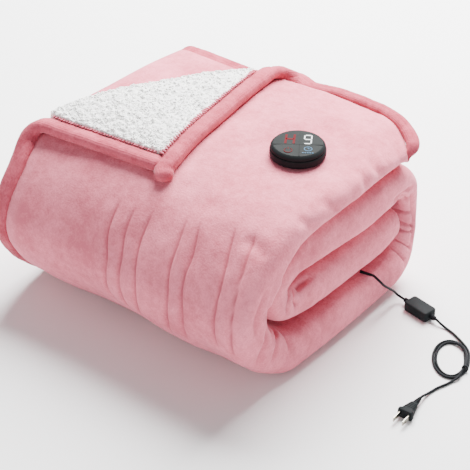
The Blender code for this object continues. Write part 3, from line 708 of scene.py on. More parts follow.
# ---------- the winding of the folded cloth
fold = {
    "bundleLeft": -0.216,        # outer edge of the side binding
    "leftFold": -0.226,
    "bindingWidth": 0.0245,
    "gap": 0.0003,
    "plyMost": 0.0165,
    "plyGap": 0.0017,
    "rightDepth": 0.030,
    "leftDepth": 0.024,
    "fullness": 2.5,
    "middleShort": 0.004,
    "cornerStart": 0.085,
    "cornerEnd": 0.190,
    "cornerDrop": 0.042,
    "cornerReach": 4.0,
    "droop": 0.007,
    "droopStart": 0.140,
    "droopReach": 1.6,
    "shoulderRow": 4.15,
}
seamX = fold["bundleLeft"] + fold["bindingWidth"] + fold["gap"]
# the folded strip's outer and inner face in millimetres, from the bound end at the top of the back,
# down the front, under the bundle, up the back and inwards; right is how far its right-hand fold reaches
winding = (
    # outer y, z, inner y, z, right
    (182, 230, 184, 196, 196), (118, 237, 118, 199, 201), (40, 238, 40, 200, 203),
    (-45, 237, -40, 200, 202), (-114, 221, -86, 187, 199), (-166, 184, -115, 162, 200),
    (-197, 132, -133, 130, 201), (-187, 80, -127, 96, 200), (-142, 28, -103, 73, 198),
    (-88, 0, -76, 60, 200), (10, 0, 10, 60, 202), (116, 0, 112, 61, 200),
    (172, 19, 146, 65, 197), (199, 60, 160, 80, 193), (205, 105, 164, 104, 190),
    (194, 153, 161, 126, 191), (162, 184, 150, 138, 194), (112, 193, 110, 138, 197),
    (20, 195, 20, 137, 197), (-60, 192, -60, 136, 194), (-102, 167, -74, 134, 191),
    (-128, 131, -82, 131, 188), (-108, 86, -76, 128, 190), (-60, 66, -60, 126, 193),
    (30, 65, 30, 128, 195), (108, 67, 108, 129, 194), (150, 74, 150, 122, 188),
)
lastRow = len(winding) - 1
columns = [[row[k] * millimetre for row in winding] for k in range(5)]
sectionCache = {}


def section(row):
    key = round(row, 5)
    if key not in sectionCache:
        outerY, outerZ, innerY, innerZ, right = (catmull(column, row) for column in columns)
        sectionCache[key] = (Vector((0, outerY, max(outerZ, 0.0))), Vector((0, innerY, innerZ)), right)
    return sectionCache[key]


def stripDepth(row):
    outer, inner, _ = section(row)
    return (inner - outer).length


def stripPoint(x, row, depth):
    outer, inner, _ = section(row)
    whole = (inner - outer).length
    place = outer + (inner - outer) * (depth / whole)
    reach = fold["cornerEnd"]
    past = max(x - fold["cornerStart"], 0.0) / (reach - fold["cornerStart"])
    place.y -= fold["cornerDrop"] * past ** 2.6 * (1.0 - ease(row / fold["cornerReach"]))
    droop = ease((x - fold["droopStart"]) / (reach - fold["droopStart"]))
    place.z -= fold["droop"] * droop * (1.0 - ease(row / fold["droopReach"])) * (1.0 - depth / whole)
    place.x = x
    return place


def ply(row):
    depth = stripDepth(row)
    thick = min(fold["plyMost"], (depth - 2 * fold["plyGap"]) / 3)
    return thick, (depth - 3 * thick) / 2


# the turned-back corner
corner = {
    # front, middle and back of the line it turns over at
    "line": ((-0.203, -0.124), (-0.139, 0.012), (-0.036, 0.178)),
    "tip": (0.010, -0.106),
    "flannel": 0.0055,       # how thick its two layers are
    "sherpa": 0.0070,
    "radius": 0.0050,        # of the turn, and how far it stands off the top there and at the tip
    "liftTurn": 0.0040,
    "liftTip": 0.0025,
    "slant": (0.100, 0.112),
    "last": 0.790,           # where the layers and the two bindings stop, as shares of the way to the tip
    "sideLast": 0.850,
    "endLast": 0.965,
    "sideStop": 0.80,        # rows past the shoulder where the side binding leaves the winding
    "bulge": 0.009,          # how far it stands out there, and over how many rows
    "bulgeReach": 3.5,
}
cornerThick = corner["flannel"] + fold["gap"] + corner["sherpa"]


def turnLine(part):
    start, middle, end = (Vector(point) for point in corner["line"])
    through = 2 * middle - 0.5 * (start + end)
    return start * (1 - part) ** 2 + through * 2 * part * (1 - part) + end * part ** 2


def turnOutward(part, step=0.01):
    line = (turnLine(part + step) - turnLine(part - step)).normalized()
    return Vector((-line.y, line.x))


def turnX(y):
    return turnLine(edgeOf(lambda part: turnLine(part).y < y, 0.0, 1.0, 30)).x


def outerLeft(row):
    # past the shoulder the edge runs on a little way under the turned corner
    tuck = 0.011 * ease((row - 3.1) / 0.6) * ease((fold["shoulderRow"] + 0.9 - row) / 0.7)
    if row >= fold["shoulderRow"]:
        return seamX - tuck
    return max(seamX, turnX(section(row)[0].y)) - tuck


# the front's left-hand end hangs out and down: how far, from which x over what width, and at which rows,
# how many rows wide and with what share
sag = {"most": 0.0072, "from": 0.02, "over": 0.20, "rows": ((7.9, 1.0, 1.0), (6.2, 0.9, 0.35))}


def leftSag(x, row):
    along = sum(share * np.exp(-((row - middle) / wide) ** 2) for middle, wide, share in sag["rows"])
    return sag["most"] * easeAll((sag["from"] - x) / sag["over"]) * along


def halfRound(centreX, reach, centreDepth, half, first, last, steps, power):
    points = []
    for k in range(1, steps):
        angle = math.radians(90) * (first + (last - first) * k / steps)
        across, along = math.cos(angle), math.sin(angle)
        points.append((centreX + reach * math.copysign(abs(across) ** (2 / power), across),
                       centreDepth + half * math.copysign(abs(along) ** (2 / power), along)))
    return points


def topHeight(x, y):
    row = edgeOf(lambda half: stripPoint(x, half, 0.0).y > y, 0.0, fold["shoulderRow"] + 1.5, 26)
    return stripPoint(x, row, 0.0).z


# how finely the cloth is drawn
clothGrid = {
    "plain": 27,             # points across the front left of the channels
    "channels": 113,         # and across the channels
    "channelsFrom": -0.045,
    "rightFold": 34,
    "inner": 14,
    "leftFold": 10,
    "middle": 10,
    # from row, steps to a row
    "rows": ((0.0, 17), (8.6, 10), (12.0, 14), (17.5, 8), (21.0, 14), (24.0, 8)),
    # rows between which it lies flat on the surface, and rows over which its relief fades out
    "sole": (8.4, 11.6),
    "soleFade": 0.6,
}
outerCount = clothGrid["plain"] + clothGrid["channels"]


def clothRows():
    marks = [start for start, _ in clothGrid["rows"]] + [float(lastRow)]
    rows = []
    for (start, steps), end in zip(clothGrid["rows"], marks[1:]):
        rows += list(np.linspace(start, end, round((end - start) * steps), endpoint=False))
    return rows + [float(lastRow)]


def clothOutline(row):
    # the three plies cut across, flannel side first: (x, depth) all the way round
    thick, gap = ply(row)
    depth = stripDepth(row)
    foldX = section(row)[2] - fold["rightDepth"]
    left, leftX = outerLeft(row), fold["leftFold"] + fold["leftDepth"]
    top, half = thick + gap, depth / 2
    part = max(clothGrid["channelsFrom"], left + 0.02)
    outline = [(x, 0.0) for x in np.linspace(left, part, clothGrid["plain"], endpoint=False)]
    outline += [(x, 0.0) for x in np.linspace(part, foldX, clothGrid["channels"])]
    outline += halfRound(foldX, fold["rightDepth"], half, half, -1, 1, clothGrid["rightFold"],
                         fold["fullness"])
    outline += [(x, depth) for x in np.linspace(foldX, leftX, clothGrid["inner"])]
    middle, reach = (top + depth) / 2, (depth - top) / 2
    outline += halfRound(leftX, -fold["leftDepth"], middle, reach, 1, -1, clothGrid["leftFold"], 2.0)
    short = foldX - fold["middleShort"]
    outline += [(x, top) for x in np.linspace(leftX, short, clothGrid["middle"])]
    flannelCount = len(outline)
    # back along the fleece side, coarser, because it stays hidden
    outline += [(x, top + thick) for x in np.linspace(short, leftX, 5)]
    outline += halfRound(leftX, thick - fold["leftDepth"], middle, reach - thick, -1, 1, 6, 2.0)
    outline += [(x, depth - thick) for x in np.linspace(leftX, foldX, 5)]
    outline += halfRound(foldX, fold["rightDepth"] - thick, half, half - thick, 1, -1, 8, fold["fullness"])
    outline += [(x, thick) for x in np.linspace(foldX, left, 14)]
    return outline, flannelCount


def softNoise(places, size, seed, octaves):
    # a smooth field over points in metres, size being the width of its lumps
    flat = places.reshape(-1, 3) / size
    found = np.empty(len(flat))
    offset = Vector((seed * 3.1, seed * 1.7, seed * 2.3))
    for k, spot in enumerate(flat):
        found[k] = noise.fractal(Vector(spot) + offset, 0.8, 2.0, octaves)
    return found.reshape(places.shape[:2])


def waveField(across, along, waves):
    # broad, cheap undulation from a few crossed sine waves: (across size, along size, phase, height)
    total = np.zeros_like(across)
    for acrossSize, alongSize, phase, height in waves:
        total += height * np.sin(2 * math.pi * (across / acrossSize + along / alongSize) + phase)
    return total


rowLength = 0.062            # metres of cloth from one row to the next, about


def creaseField(across, along, line, half, height, fade=0.25):
    # a ridge (height over 0) or a groove along a polyline of (across in m, row) points, on a plane in metres
    points = np.array([(a, r * rowLength) for a, r in line])
    best = np.full(across.shape, 1e9)
    share = np.zeros_like(across)
    lengths = np.linalg.norm(np.diff(points, axis=0), axis=1)
    total, gone = lengths.sum(), 0.0
    for (start, end), length in zip(zip(points, points[1:]), lengths):
        way = (end - start) / length
        along0 = np.clip((across - start[0]) * way[0] + (along - start[1]) * way[1], 0, length)
        away = np.hypot(across - start[0] - way[0] * along0, along - start[1] - way[1] * along0)
        nearer = away < best
        best = np.where(nearer, away, best)
        share = np.where(nearer, (gone + along0) / total, share)
        gone += length
    taper = easeAll(share / fade) * easeAll((1 - share) / fade)
    return height * np.exp(-(best / half) ** 2) * taper


# sewn channels of the heating wires: (x, row) down the front, in the cloth's own numbers
channels = (
    ((-0.033, 4.5), (-0.032, 5.25), (-0.021, 5.85), (-0.023, 6.75), (-0.013, 7.3)),
    ((-0.009, 4.5), (-0.007, 5.2), (0.001, 5.7), (0.002, 6.5), (0.000, 7.5)),
    ((0.016, 4.4), (0.017, 5.15), (0.024, 5.65), (0.029, 6.3), (0.022, 7.4)),
    ((0.063, 4.3), (0.070, 5.0), (0.073, 5.45), (0.081, 5.95), (0.078, 6.75), (0.074, 7.5)),
    ((0.082, 4.25), (0.095, 4.95), (0.098, 5.5), (0.105, 6.2), (0.102, 6.8), (0.102, 7.3)),
    ((0.129, 4.05), (0.140, 4.65), (0.149, 5.2), (0.153, 5.75), (0.155, 6.25), (0.159, 6.9)),
    ((0.156, 4.0), (0.167, 4.65), (0.172, 5.15), (0.177, 5.6), (0.181, 6.2), (0.181, 7.0)),
)
channels = [[(catmull([p[0] for p in line], k / 5), catmull([p[1] for p in line], k / 5))
             for k in range(5 * (len(line) - 1) + 1)] for line in channels]
channelStitch = {"groove": 0.0030, "half": 0.0023, "shoulderHalf": 0.0085, "shoulderDepth": 0.0022}

# wrinkles and puckers: line of (x or length over the fold, row), half width, height (below nought a groove)
wrinkles = (
    # fanning from the bottom corner of the front
    (((0.262, 8.20), (0.252, 8.41), (0.233, 8.59), (0.214, 8.94)), 0.0045, -0.0034),
    (((0.266, 8.05), (0.261, 8.00), (0.243, 7.65), (0.225, 7.76), (0.205, 7.88)), 0.0045, -0.0038),
    (((0.250, 6.40), (0.244, 6.47), (0.233, 6.88), (0.214, 7.18), (0.195, 7.47)), 0.0050, -0.0034),
    (((0.262, 8.90), (0.254, 9.06), (0.234, 9.24), (0.215, 9.47)), 0.0045, -0.0030),
    (((0.256, 7.10), (0.240, 7.25), (0.222, 7.50)), 0.0040, 0.0024),
    (((0.258, 8.65), (0.243, 8.80), (0.222, 9.10)), 0.0040, 0.0022),
    # along the bottom band
    (((0.260, 9.55), (0.249, 9.59), (0.232, 9.65), (0.203, 9.94)), 0.0060, -0.0026),
    (((0.262, 10.2), (0.255, 10.24), (0.239, 10.24), (0.216, 10.41)), 0.0065, -0.0024),
    (((0.262, 10.95), (0.254, 11.00), (0.234, 11.06), (0.215, 11.1)), 0.0050, -0.0026),
    # front, beside the channels
    (((0.206, 4.95), (0.211, 5.35), (0.212, 5.76), (0.217, 6.29), (0.222, 6.7)), 0.0050, -0.0026),
    (((0.148, 4.20), (0.158, 4.29), (0.178, 4.35), (0.192, 4.53)), 0.0080, -0.0022),
    (((0.230, 4.80), (0.232, 5.35), (0.236, 5.80)), 0.0045, 0.0022),
    # pleats of the turn at the back
    (((0.240, 13.60), (0.225, 13.55), (0.196, 13.33)), 0.0034, -0.0036),
    (((0.240, 13.20), (0.226, 13.17), (0.201, 13.17)), 0.0034, -0.0034),
    (((0.244, 12.52), (0.228, 12.50), (0.205, 12.50)), 0.0038, -0.0034),
    (((0.252, 11.86), (0.238, 11.88), (0.215, 11.94)), 0.0040, -0.0034),
    (((0.240, 14.20), (0.226, 14.15), (0.204, 14.05)), 0.0034, -0.0028),
    (((0.209, 15.60), (0.211, 15.33), (0.202, 13.83), (0.206, 13.00), (0.216, 12.17)), 0.0026, -0.0028),
    # puckers where the second ply meets the top
    (((0.225, 17.00), (0.221, 16.83), (0.219, 16.17), (0.204, 15.33)), 0.0040, -0.0034),
    (((0.236, 16.70), (0.231, 16.67), (0.218, 15.00), (0.206, 14.67)), 0.0036, -0.0030),
    (((0.236, 16.20), (0.226, 15.80), (0.215, 15.20)), 0.0036, 0.0026),
    # the innermost turn
    (((0.236, 22.10), (0.228, 22.17), (0.218, 22.17), (0.210, 22.67)), 0.0036, -0.0032),
    (((0.236, 22.60), (0.236, 22.83), (0.241, 23.00), (0.243, 23.33)), 0.0036, -0.0028),
    (((0.224, 21.50), (0.216, 21.67), (0.205, 21.83), (0.199, 22.17)), 0.0040, -0.0026),
    # soft folds along the right-hand edge of the top
    (((0.168, 1.72), (0.184, 1.65), (0.203, 1.47), (0.224, 1.29)), 0.0080, -0.0022),
    (((0.176, 1.16), (0.193, 1.06), (0.204, 0.88), (0.215, 0.7)), 0.0075, -0.0024),
    (((0.186, 2.85), (0.203, 2.65), (0.223, 2.41)), 0.0080, -0.0022),
    (((0.180, 18.5), (0.191, 18.67), (0.201, 18.83), (0.215, 18.9)), 0.0070, -0.0020),
    (((0.186, 3.50), (0.204, 3.35), (0.222, 3.22)), 0.0075, -0.0020),
)


# the rest of the cloth's relief and its colouring, in metres, and in shares of the seam colour (painted
# shade in the grooves) and the painted highlight colour on fold ridges
uneven = {
    # across size, along size, phase, height
    "waves": ((0.31, 0.47, 0.4, 0.0014), (-0.23, 0.36, 1.9, 0.0011), (0.17, -0.29, 3.3, 0.0009),
              (0.11, 0.61, 5.1, 0.0006)),
    # height, size, seed, octaves
    "lumps": ((0.0016, 0.060, 3, 2), (0.0006, 0.017, 11, 1)),
    "wrinkle": 1.5,          # times the wrinkles' own heights
    "ridgeHighlight": 0.20,             # most painted highlight, from this bend (1/m) and over how much more of it
    "ridgeHighlightFrom": 34.0,
    "ridgeHighlightOver": 60.0,
    "channelGrooveShade": 0.75,    # how strongly and how widely the seam colour, a painted shade, shows along the channel grooves
    "channelHalf": 0.0014,
    "wrinkleGrooveShade": 0.42,    # and along wrinkles deeper than this
    "deep": -0.0025,
}


def clothRelief(places, across, rows):
    # height above the plain winding, for the flannel side
    along = rows * rowLength
    relief = waveField(across, along, uneven["waves"])
    relief += sum(height * softNoise(places, *lump) for height, *lump in uneven["lumps"])
    relief += leftSag(across, rows)
    for line in channels:
        relief += creaseField(across, along, line, channelStitch["half"], -channelStitch["groove"], 0.2)
        relief += creaseField(across, along, line, channelStitch["shoulderHalf"],
                              -channelStitch["shoulderDepth"], 0.3)
    for line, half, height in wrinkles:
        relief += creaseField(across, along, line, half, uneven["wrinkle"] * height)
    return relief


def paintedRidgeHighlight(places, outward, reach=3):
    # nought to one, how sharply the surface turns outwards: a painted highlight along the fold ridges
    bend = np.zeros(places.shape[:2])
    for axis in (0, 1):
        low, high = np.roll(places, reach, axis=axis), np.roll(places, -reach, axis=axis)
        if axis == 0:
            low[:reach], high[-reach:] = places[:reach], places[-reach:]
        span = np.maximum(np.linalg.norm(high - low, axis=2) / 2, 1e-5)
        bend += np.maximum(np.einsum("ijk,ijk->ij", 2 * places - low - high, outward) / span ** 2, 0)
    for _ in range(10):
        bend[1:-1] = (bend[:-2] + 2 * bend[1:-1] + bend[2:]) / 4
        bend = (np.roll(bend, 1, axis=1) + 2 * bend + np.roll(bend, -1, axis=1)) / 4
    return uneven["ridgeHighlight"] * easeAll((bend - uneven["ridgeHighlightFrom"]) / uneven["ridgeHighlightOver"])


def paintedGrooveShade(across, rows):
    # nought to one, how strongly painted shade darkens the channel grooves and the deeper wrinkles
    along = rows * rowLength
    total = np.zeros(across.shape)
    for line in channels:
        total += creaseField(across, along, line, uneven["channelHalf"], uneven["channelGrooveShade"], 0.12)
    for line, half, height in wrinkles:
        if height < uneven["deep"]:
            total += creaseField(across, along, line, half * 0.7, uneven["wrinkleGrooveShade"])
    return np.clip(total, 0, 1)


rollEdge = {
    "run": 0.0105,           # how far the cloth runs on over the back edge, and how steeply in degrees
    "tilt": 10,
    "from": (-0.03, 0.10),   # it starts at this x, fully after this much more
    "spread": 0.35,          # round the right-hand corner it also spreads sideways, from this x
    "spreadFrom": (0.110, 0.080),
    "roll": 0.0185,          # how wide and full the rolled binding is and how far it stands up
    "full": 1.28,
    "lift": 0.0048,
}


def rollOn(point, share):
    # where a point of the first row goes when the cloth is carried on over the back edge
    x, y, z = point
    tilt = math.radians(rollEdge["tilt"] * share)
    (start, width), (sideStart, sideWidth) = rollEdge["from"], rollEdge["spreadFrom"]
    side = ease((x - sideStart) / sideWidth)
    reach = rollEdge["run"] * share * ease((x - start) / width)
    return (x + rollEdge["spread"] * reach * side, y + reach * math.cos(tilt), z - reach * math.sin(tilt))


def buildCloth():
    rows = clothRows()
    rings, acrossAll = [], []
    for row in rows:
        outline, _ = clothOutline(row)
        ring = [stripPoint(x, row, depth) for x, depth in outline]
        steps = [0.0] + [math.hypot(b[0] - a[0], b[1] - a[1]) for a, b in zip(outline, outline[1:])]
        acrossAll.append(outline[0][0] + np.cumsum(steps))
        rings.append([tuple(point) for point in ring])
    rings = np.array(rings)
    across = np.array(acrossAll)
    # beyond the first row the cloth runs on a little and rolls down towards its binding
    onward = np.array([[rollOn(point, share) for point in rings[0]] for share in (1.0, 0.8, 0.6, 0.4, 0.2)])
    rings = np.concatenate([onward, rings])
    across = np.concatenate([np.repeat(across[:1], len(onward), axis=0), across])
    rows = [0.0] * len(onward) + rows
    rowGrid = np.repeat(np.array(rows)[:, None], across.shape[1], axis=1)
    outward = ringNormals(rings)
    face = slice(0, outerCount + clothGrid["rightFold"] + 4)
    relief = np.zeros(across.shape)
    relief[:, face] = clothRelief(rings[:, face], across[:, face], rowGrid[:, face])
    rowList = np.array(rows)[:, None]
    first, last = clothGrid["sole"]
    fade = clothGrid["soleFade"]
    sole = easeAll((rowList - first) / fade) * easeAll((last - rowList) / fade)
    relief *= 1.0 - sole
    sign = -1.0 if outward[20, 10, 2] < 0 else 1.0
    moved = rings + outward * (sign * relief)[:, :, None]
    moved[:, :, 2] = np.maximum(moved[:, :, 2], 0.0)
    # painted shade in the grooves and a painted highlight on the fold ridges, kept on the cloth for its
    # material
    grooveShade = np.zeros(across.shape)
    grooveShade[:, face] = paintedGrooveShade(across[:, face], rowGrid[:, face])
    made = gridSurface("flannelCloth", moved + np.array(shift), flannelPile,
                       values={"grooveShade": grooveShade, "ridgeHighlight": paintedRidgeHighlight(moved, outward * sign)})
    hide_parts("flannel_blanket")
    return made


cloth = buildCloth()
print("cloth ready", len(cloth.data.vertices))


# ---------- the turned corner: flannel underneath, sherpa on top
def bindingShare(atBack, along, width):
    # how much of the way across the corner a binding of this width covers, from one end
    tip = Vector(corner["tip"])
    end = turnLine(atBack)
    leg = (tip - end).normalized()

    def covered(part):
        spot = turnLine(1 - part if atBack else part) - end
        return abs(spot.cross(leg)) * (1 - along) < width
    return edgeOf(covered, 0.0, 1.0, 24)


def cornerPoint(across, along, height):
    root = turnLine(across)
    if along >= 0:
        spot = root.lerp(Vector(corner["tip"]), along)
        lift = corner["liftTurn"] + (corner["liftTip"] - corner["liftTurn"]) * along
        return Vector((spot.x, spot.y, topHeight(spot.x, spot.y) + lift + height))
    angle = math.radians(90 + 180 * along)
    radius = corner["radius"] - corner["flannel"] / 2 + height
    centre = topHeight(root.x, root.y) + corner["liftTurn"] - corner["radius"] + corner["flannel"] / 2
    place = root + turnOutward(across) * (radius * math.cos(angle))
    return Vector((place.x, place.y, centre + radius * math.sin(angle)))


def cornerLayer(name, low, high, firstAlong, material, across, along, puff=None):
    # one layer of the corner, dense on top and plain below
    acrossShares = np.linspace(0, 1, across)
    turned = list(np.linspace(firstAlong, 0, max(4, along // 6), endpoint=False))
    laid = list(np.linspace(0, corner["last"], along))
    lowRows = list(np.linspace(firstAlong, 0, 6, endpoint=False)) + list(np.linspace(0, corner["last"], 16))
    margins = {a: [bindingShare(end, max(a, 0.0), fold["bindingWidth"] - 0.0012) for end in (0, 1)]
               for a in set(turned + laid + lowRows)}
    top = np.empty((across, len(turned) + len(laid), 3))
    bottom = np.empty((across, len(lowRows), 3))
    for k, share in enumerate(acrossShares):
        for j, a in enumerate(turned + laid):
            near, far = margins[a]
            top[k, j] = cornerPoint(near + (1 - near - far) * share, a, high)
        for j, a in enumerate(lowRows):
            near, far = margins[a]
            bottom[k, j] = cornerPoint(near + (1 - near - far) * share, a, low)
    if puff:
        top = puff(top)
    rings = np.concatenate([bottom, top[:, ::-1]], axis=1)
    return gridSurface(name, rings + np.array(shift), material)


sherpa = {
    "clump": 150.0,          # clumps to the metre, large and small
    "fine": 420.0,
    "rise": 0.0046,
    "fineRise": 0.0015,
    "warp": (90.0, 0.0022),  # noise cells to the metre and height: warp of the clumps, slow swell
    "swell": (45.0, 0.0013),
    "settle": 0.0024,
    "curls": 3600,
    "curlSteps": 7,
    "curlSides": 4,
    "curlSink": 0.0011,
    "curlTilt": 0.7,
    "curlSweep": (3.2, 5.4),
    "yarnSpread": (0.8, 1.25),
    "curlRadius": (0.0012, 0.0023),
    "yarn": 0.00085,
}


def sherpaHeight(spot):
    # curly clumps: rounded cells of two sizes, warped
    (warpCells, warpMost), (swellCells, swellMost) = sherpa["warp"], sherpa["swell"]
    warp = noise.noise_vector(spot * warpCells) * warpMost
    near = noise.voronoi((spot + warp) * sherpa["clump"])[0]
    fine = noise.voronoi((spot + warp * 0.6) * sherpa["fine"])[0]
    return (sherpa["rise"] * (1 - min(near[0], 1.0)) ** 0.7 + sherpa["fineRise"] * (1 - min(fine[0], 1.0))
            + swellMost * noise.noise(spot * swellCells) - sherpa["settle"])


def sherpaPuff(top):
    along = np.gradient(top, axis=1)
    across = np.gradient(top, axis=0)
    normal = np.cross(across, along)
    normal /= np.maximum(np.linalg.norm(normal, axis=2, keepdims=True), 1e-12)
    if normal[:, -1, 2].mean() < 0:
        normal = -normal
    relief = np.empty(top.shape[:2])
    for index in np.ndindex(relief.shape):
        relief[index] = sherpaHeight(Vector(top[index]))
    return top + normal * relief[:, :, None]


def sherpaMaterial():
    made, tree, shader = newMaterial("whiteSherpa", (0.90, 0.90, 0.88), 0.95, {
        "Sheen Weight": 0.25, "Sheen Roughness": 0.5, "Specular IOR Level": 0.1})
    spot = addNode(tree, "TexCoord", (-1100, 0))
    warp = addNode(tree, "TexNoise", (-900, -150), Scale=120.0, Detail=2.0)
    bend = addNode(tree, "VectorMath", (-720, -50), operation="MULTIPLY_ADD")
    bend.inputs[1].default_value = (0.006, 0.006, 0.006)
    curl = addNode(tree, "TexVoronoi", (-520, 50), Scale=330.0)
    fibre = addNode(tree, "TexNoise", (-520, -250), Scale=900.0, Detail=3.0, Roughness=0.7)
    # lighter in the middle of each small curl cell and darker towards its edge: painted shade in the gaps
    # between the curls
    curlGapShade = rampOf(tree, (-300, 150), ((0.0, (0.96, 0.955, 0.94)), (0.5, (0.93, 0.92, 0.905)),
                                     (1.0, (0.89, 0.875, 0.86))))
    both = addNode(tree, "Math", (-300, -200), operation="MULTIPLY_ADD")
    both.inputs[1].default_value = -1.0
    relief = addNode(tree, "Bump", (-120, -250), Strength=0.45, Distance=0.0010)
    wire(tree, (spot, "Object", warp, "Vector"), (warp, "Color", bend, 0), (spot, "Object", bend, 2),
         (bend, 0, curl, "Vector"), (spot, "Object", fibre, "Vector"), (curl, "Distance", curlGapShade, "Fac"),
         (curlGapShade, "Color", shader, "Base Color"), (curl, "Distance", both, 0), (fibre, "Fac", both, 2),
         (both, 0, relief, "Height"), (relief, "Normal", shader, "Normal"))
    return made


sherpaFleece = sherpaMaterial()
turnedFlannel = cornerLayer("turnedFlannel", 0.0, corner["flannel"], -1.0, flannelPile, 60, 60)
lining = cornerLayer("sherpaLining", corner["flannel"] + fold["gap"], cornerThick, -0.95, sherpaFleece, 170,
                     150, sherpaPuff)
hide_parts("sherpa_lining")


def yarnTube(centre, frame, points, radius, sides):
    # one thin closed tube's rings, in the curl's own frame
    rings = []
    for k, point in enumerate(points):
        ahead = (points[min(k + 1, len(points) - 1)] - points[max(k - 1, 0)]).normalized()
        aside = ahead.orthogonal().normalized()
        other = ahead.cross(aside)
        size = radius * (0.25 if k in (0, len(points) - 1) else 1.0)
        rings.append([centre + frame @ (point + aside * (size * math.cos(2 * math.pi * s / sides))
                                        + other * (size * math.sin(2 * math.pi * s / sides)))
                      for s in range(sides)])
    return rings


def buildCurls():
    # small looped yarns standing out of the fleece, all in one piece
    picker = random.Random(23)
    work = bmesh.new()
    steps, sides = sherpa["curlSteps"], sherpa["curlSides"]
    bmesh.ops.create_grid(work, x_segments=sides, y_segments=sherpa["curls"] * steps - 1, size=1)
    work.verts.ensure_lookup_table()
    width, cut = sides + 1, []
    low, high = corner["flannel"] + fold["gap"], cornerThick
    for k in range(sherpa["curls"]):
        along = picker.uniform(-0.62, corner["last"] + 0.01)
        # fewer towards the tip, where the corner narrows
        if along > 0 and picker.random() < 0.75 * along / corner["last"]:
            along = picker.uniform(-0.6, 0.45)
        near, far = (bindingShare(end, max(along, 0.0), fold["bindingWidth"] + 0.0005) for end in (0, 1))
        across = near + (1 - near - far) * picker.random()
        place = cornerPoint(across, along, high)
        nextAcross = cornerPoint(across + 0.01, along, high) - place
        nextAlong = cornerPoint(across, along + 0.01, high) - place
        normal = nextAcross.cross(nextAlong).normalized()
        if normal.dot(place - cornerPoint(across, along, low)) < 0:
            normal = -normal
        centre = place + normal * (sherpaHeight(place) - sherpa["curlSink"])
        frame = normal.to_track_quat("Z", "Y").to_matrix()
        spin = Matrix.Rotation(picker.uniform(0, 2 * math.pi), 3, "Z")
        tilt = Matrix.Rotation(picker.uniform(-sherpa["curlTilt"], sherpa["curlTilt"]), 3, "X")
        radius = picker.uniform(*sherpa["curlRadius"])
        sweep = picker.uniform(*sherpa["curlSweep"])
        points = [Vector((radius * math.cos(sweep * t / (steps - 1)) * (1 - 0.25 * t / steps),
                          radius * 0.55 * (t / (steps - 1) - 0.5),
                          radius * (0.25 + 0.6 * math.sin(sweep * t / (steps - 1))))) for t in range(steps)]
        thick = sherpa["yarn"] * picker.uniform(*sherpa["yarnSpread"])
        for row, ring in enumerate(yarnTube(centre, frame @ spin @ tilt, points, thick, sides)):
            base = (k * steps + row) * width
            for side in range(width):
                work.verts[base + side].co = ring[side % sides]
        if k:
            cut.append(k * steps)
    between = {base * width + side for base in cut for side in range(width)}
    gone = [f for f in work.faces if any(v.index in between for v in f.verts)
            and any((v.index + width) in between for v in f.verts)]
    bmesh.ops.delete(work, geom=gone, context="FACES_ONLY")
    bmesh.ops.remove_doubles(work, verts=work.verts, dist=1e-8)
    rims = [edge for edge in work.edges if edge.is_boundary]
    bmesh.ops.holes_fill(work, edges=rims, sides=0)
    bmesh.ops.recalc_face_normals(work, faces=work.faces)
    bmesh.ops.translate(work, vec=shift, verts=work.verts)
    made = fromWork("sherpaCurls", work, sherpaFleece)
    return made


curls = buildCurls()
print("corner ready", len(lining.data.vertices), len(curls.data.polygons))


# ---------- bindings
binding = {
    "sides": 64,
    "fill": 0.96,
    "step": 0.0022,
    "ribs": 9,
    "ribDepth": 0.00042,
    "full": 1.36,            # how much fuller the band is than the cloth it binds, on the corner
    "settle": 0.0018,        # and how far it has settled
    "pucker": ((160, 0.0005), (45, 0.0007)),   # noise cells to the metre and height
    "stitchPitch": 0.0054,
    "stitch": (0.0120, 0.0015, 0.0015),
    "stitchSpread": (0.85, 1.1),
    "stitchSlant": (0.15, 0.5),
    "stitchLean": 0.30,
    "stitchInset": 0.0005,
}


def cornerBinding(atBack, along):
    inset = bindingShare(atBack, max(along, 0.0), fold["bindingWidth"] / 2)
    inset -= max(-along, 0.0) * corner["slant"][atBack]
    across = 1 - inset if atBack else inset
    low, high = (cornerPoint(across, along, height) for height in (0.0, cornerThick))
    return (low + high) / 2, (high - low).normalized()


def turnedSteps(last, around=10, laid=24):
    return [k / around - 1 for k in range(around)] + [last * k / laid for k in range(laid + 1)]


def sideBindingPath():
    places, ways, thicks = [], [], []
    stop = fold["shoulderRow"] + corner["sideStop"]
    for row in reversed(np.linspace(stop, lastRow, round((lastRow - stop) * 4) + 1)):
        outer, inner, _ = section(row)
        inward = (inner - outer).normalized()
        bulge = corner["bulge"] * ease(1 - (row - stop) / corner["bulgeReach"])
        x = fold["bundleLeft"] + fold["bindingWidth"] / 2
        bulge += float(leftSag(x, row))
        places.append(stripPoint(x, row, ply(row)[0] / 2) - inward * bulge)
        ways.append(inward)
        thicks.append(ply(row)[0] * binding["fill"])
    lastBulge = places[-1] - stripPoint(places[-1].x, stop, ply(stop)[0] / 2)
    for along in turnedSteps(corner["sideLast"]):
        place, way = cornerBinding(0, along)
        place -= way * (binding["settle"] * ease(along / 0.1))
        places.append(place + lastBulge * ease(1 - (along + 1) / 1.3))
        ways.append(way)
        thicks.append(cornerThick * binding["full"])
    return places, ways, thicks, [fold["bindingWidth"]] * len(places)


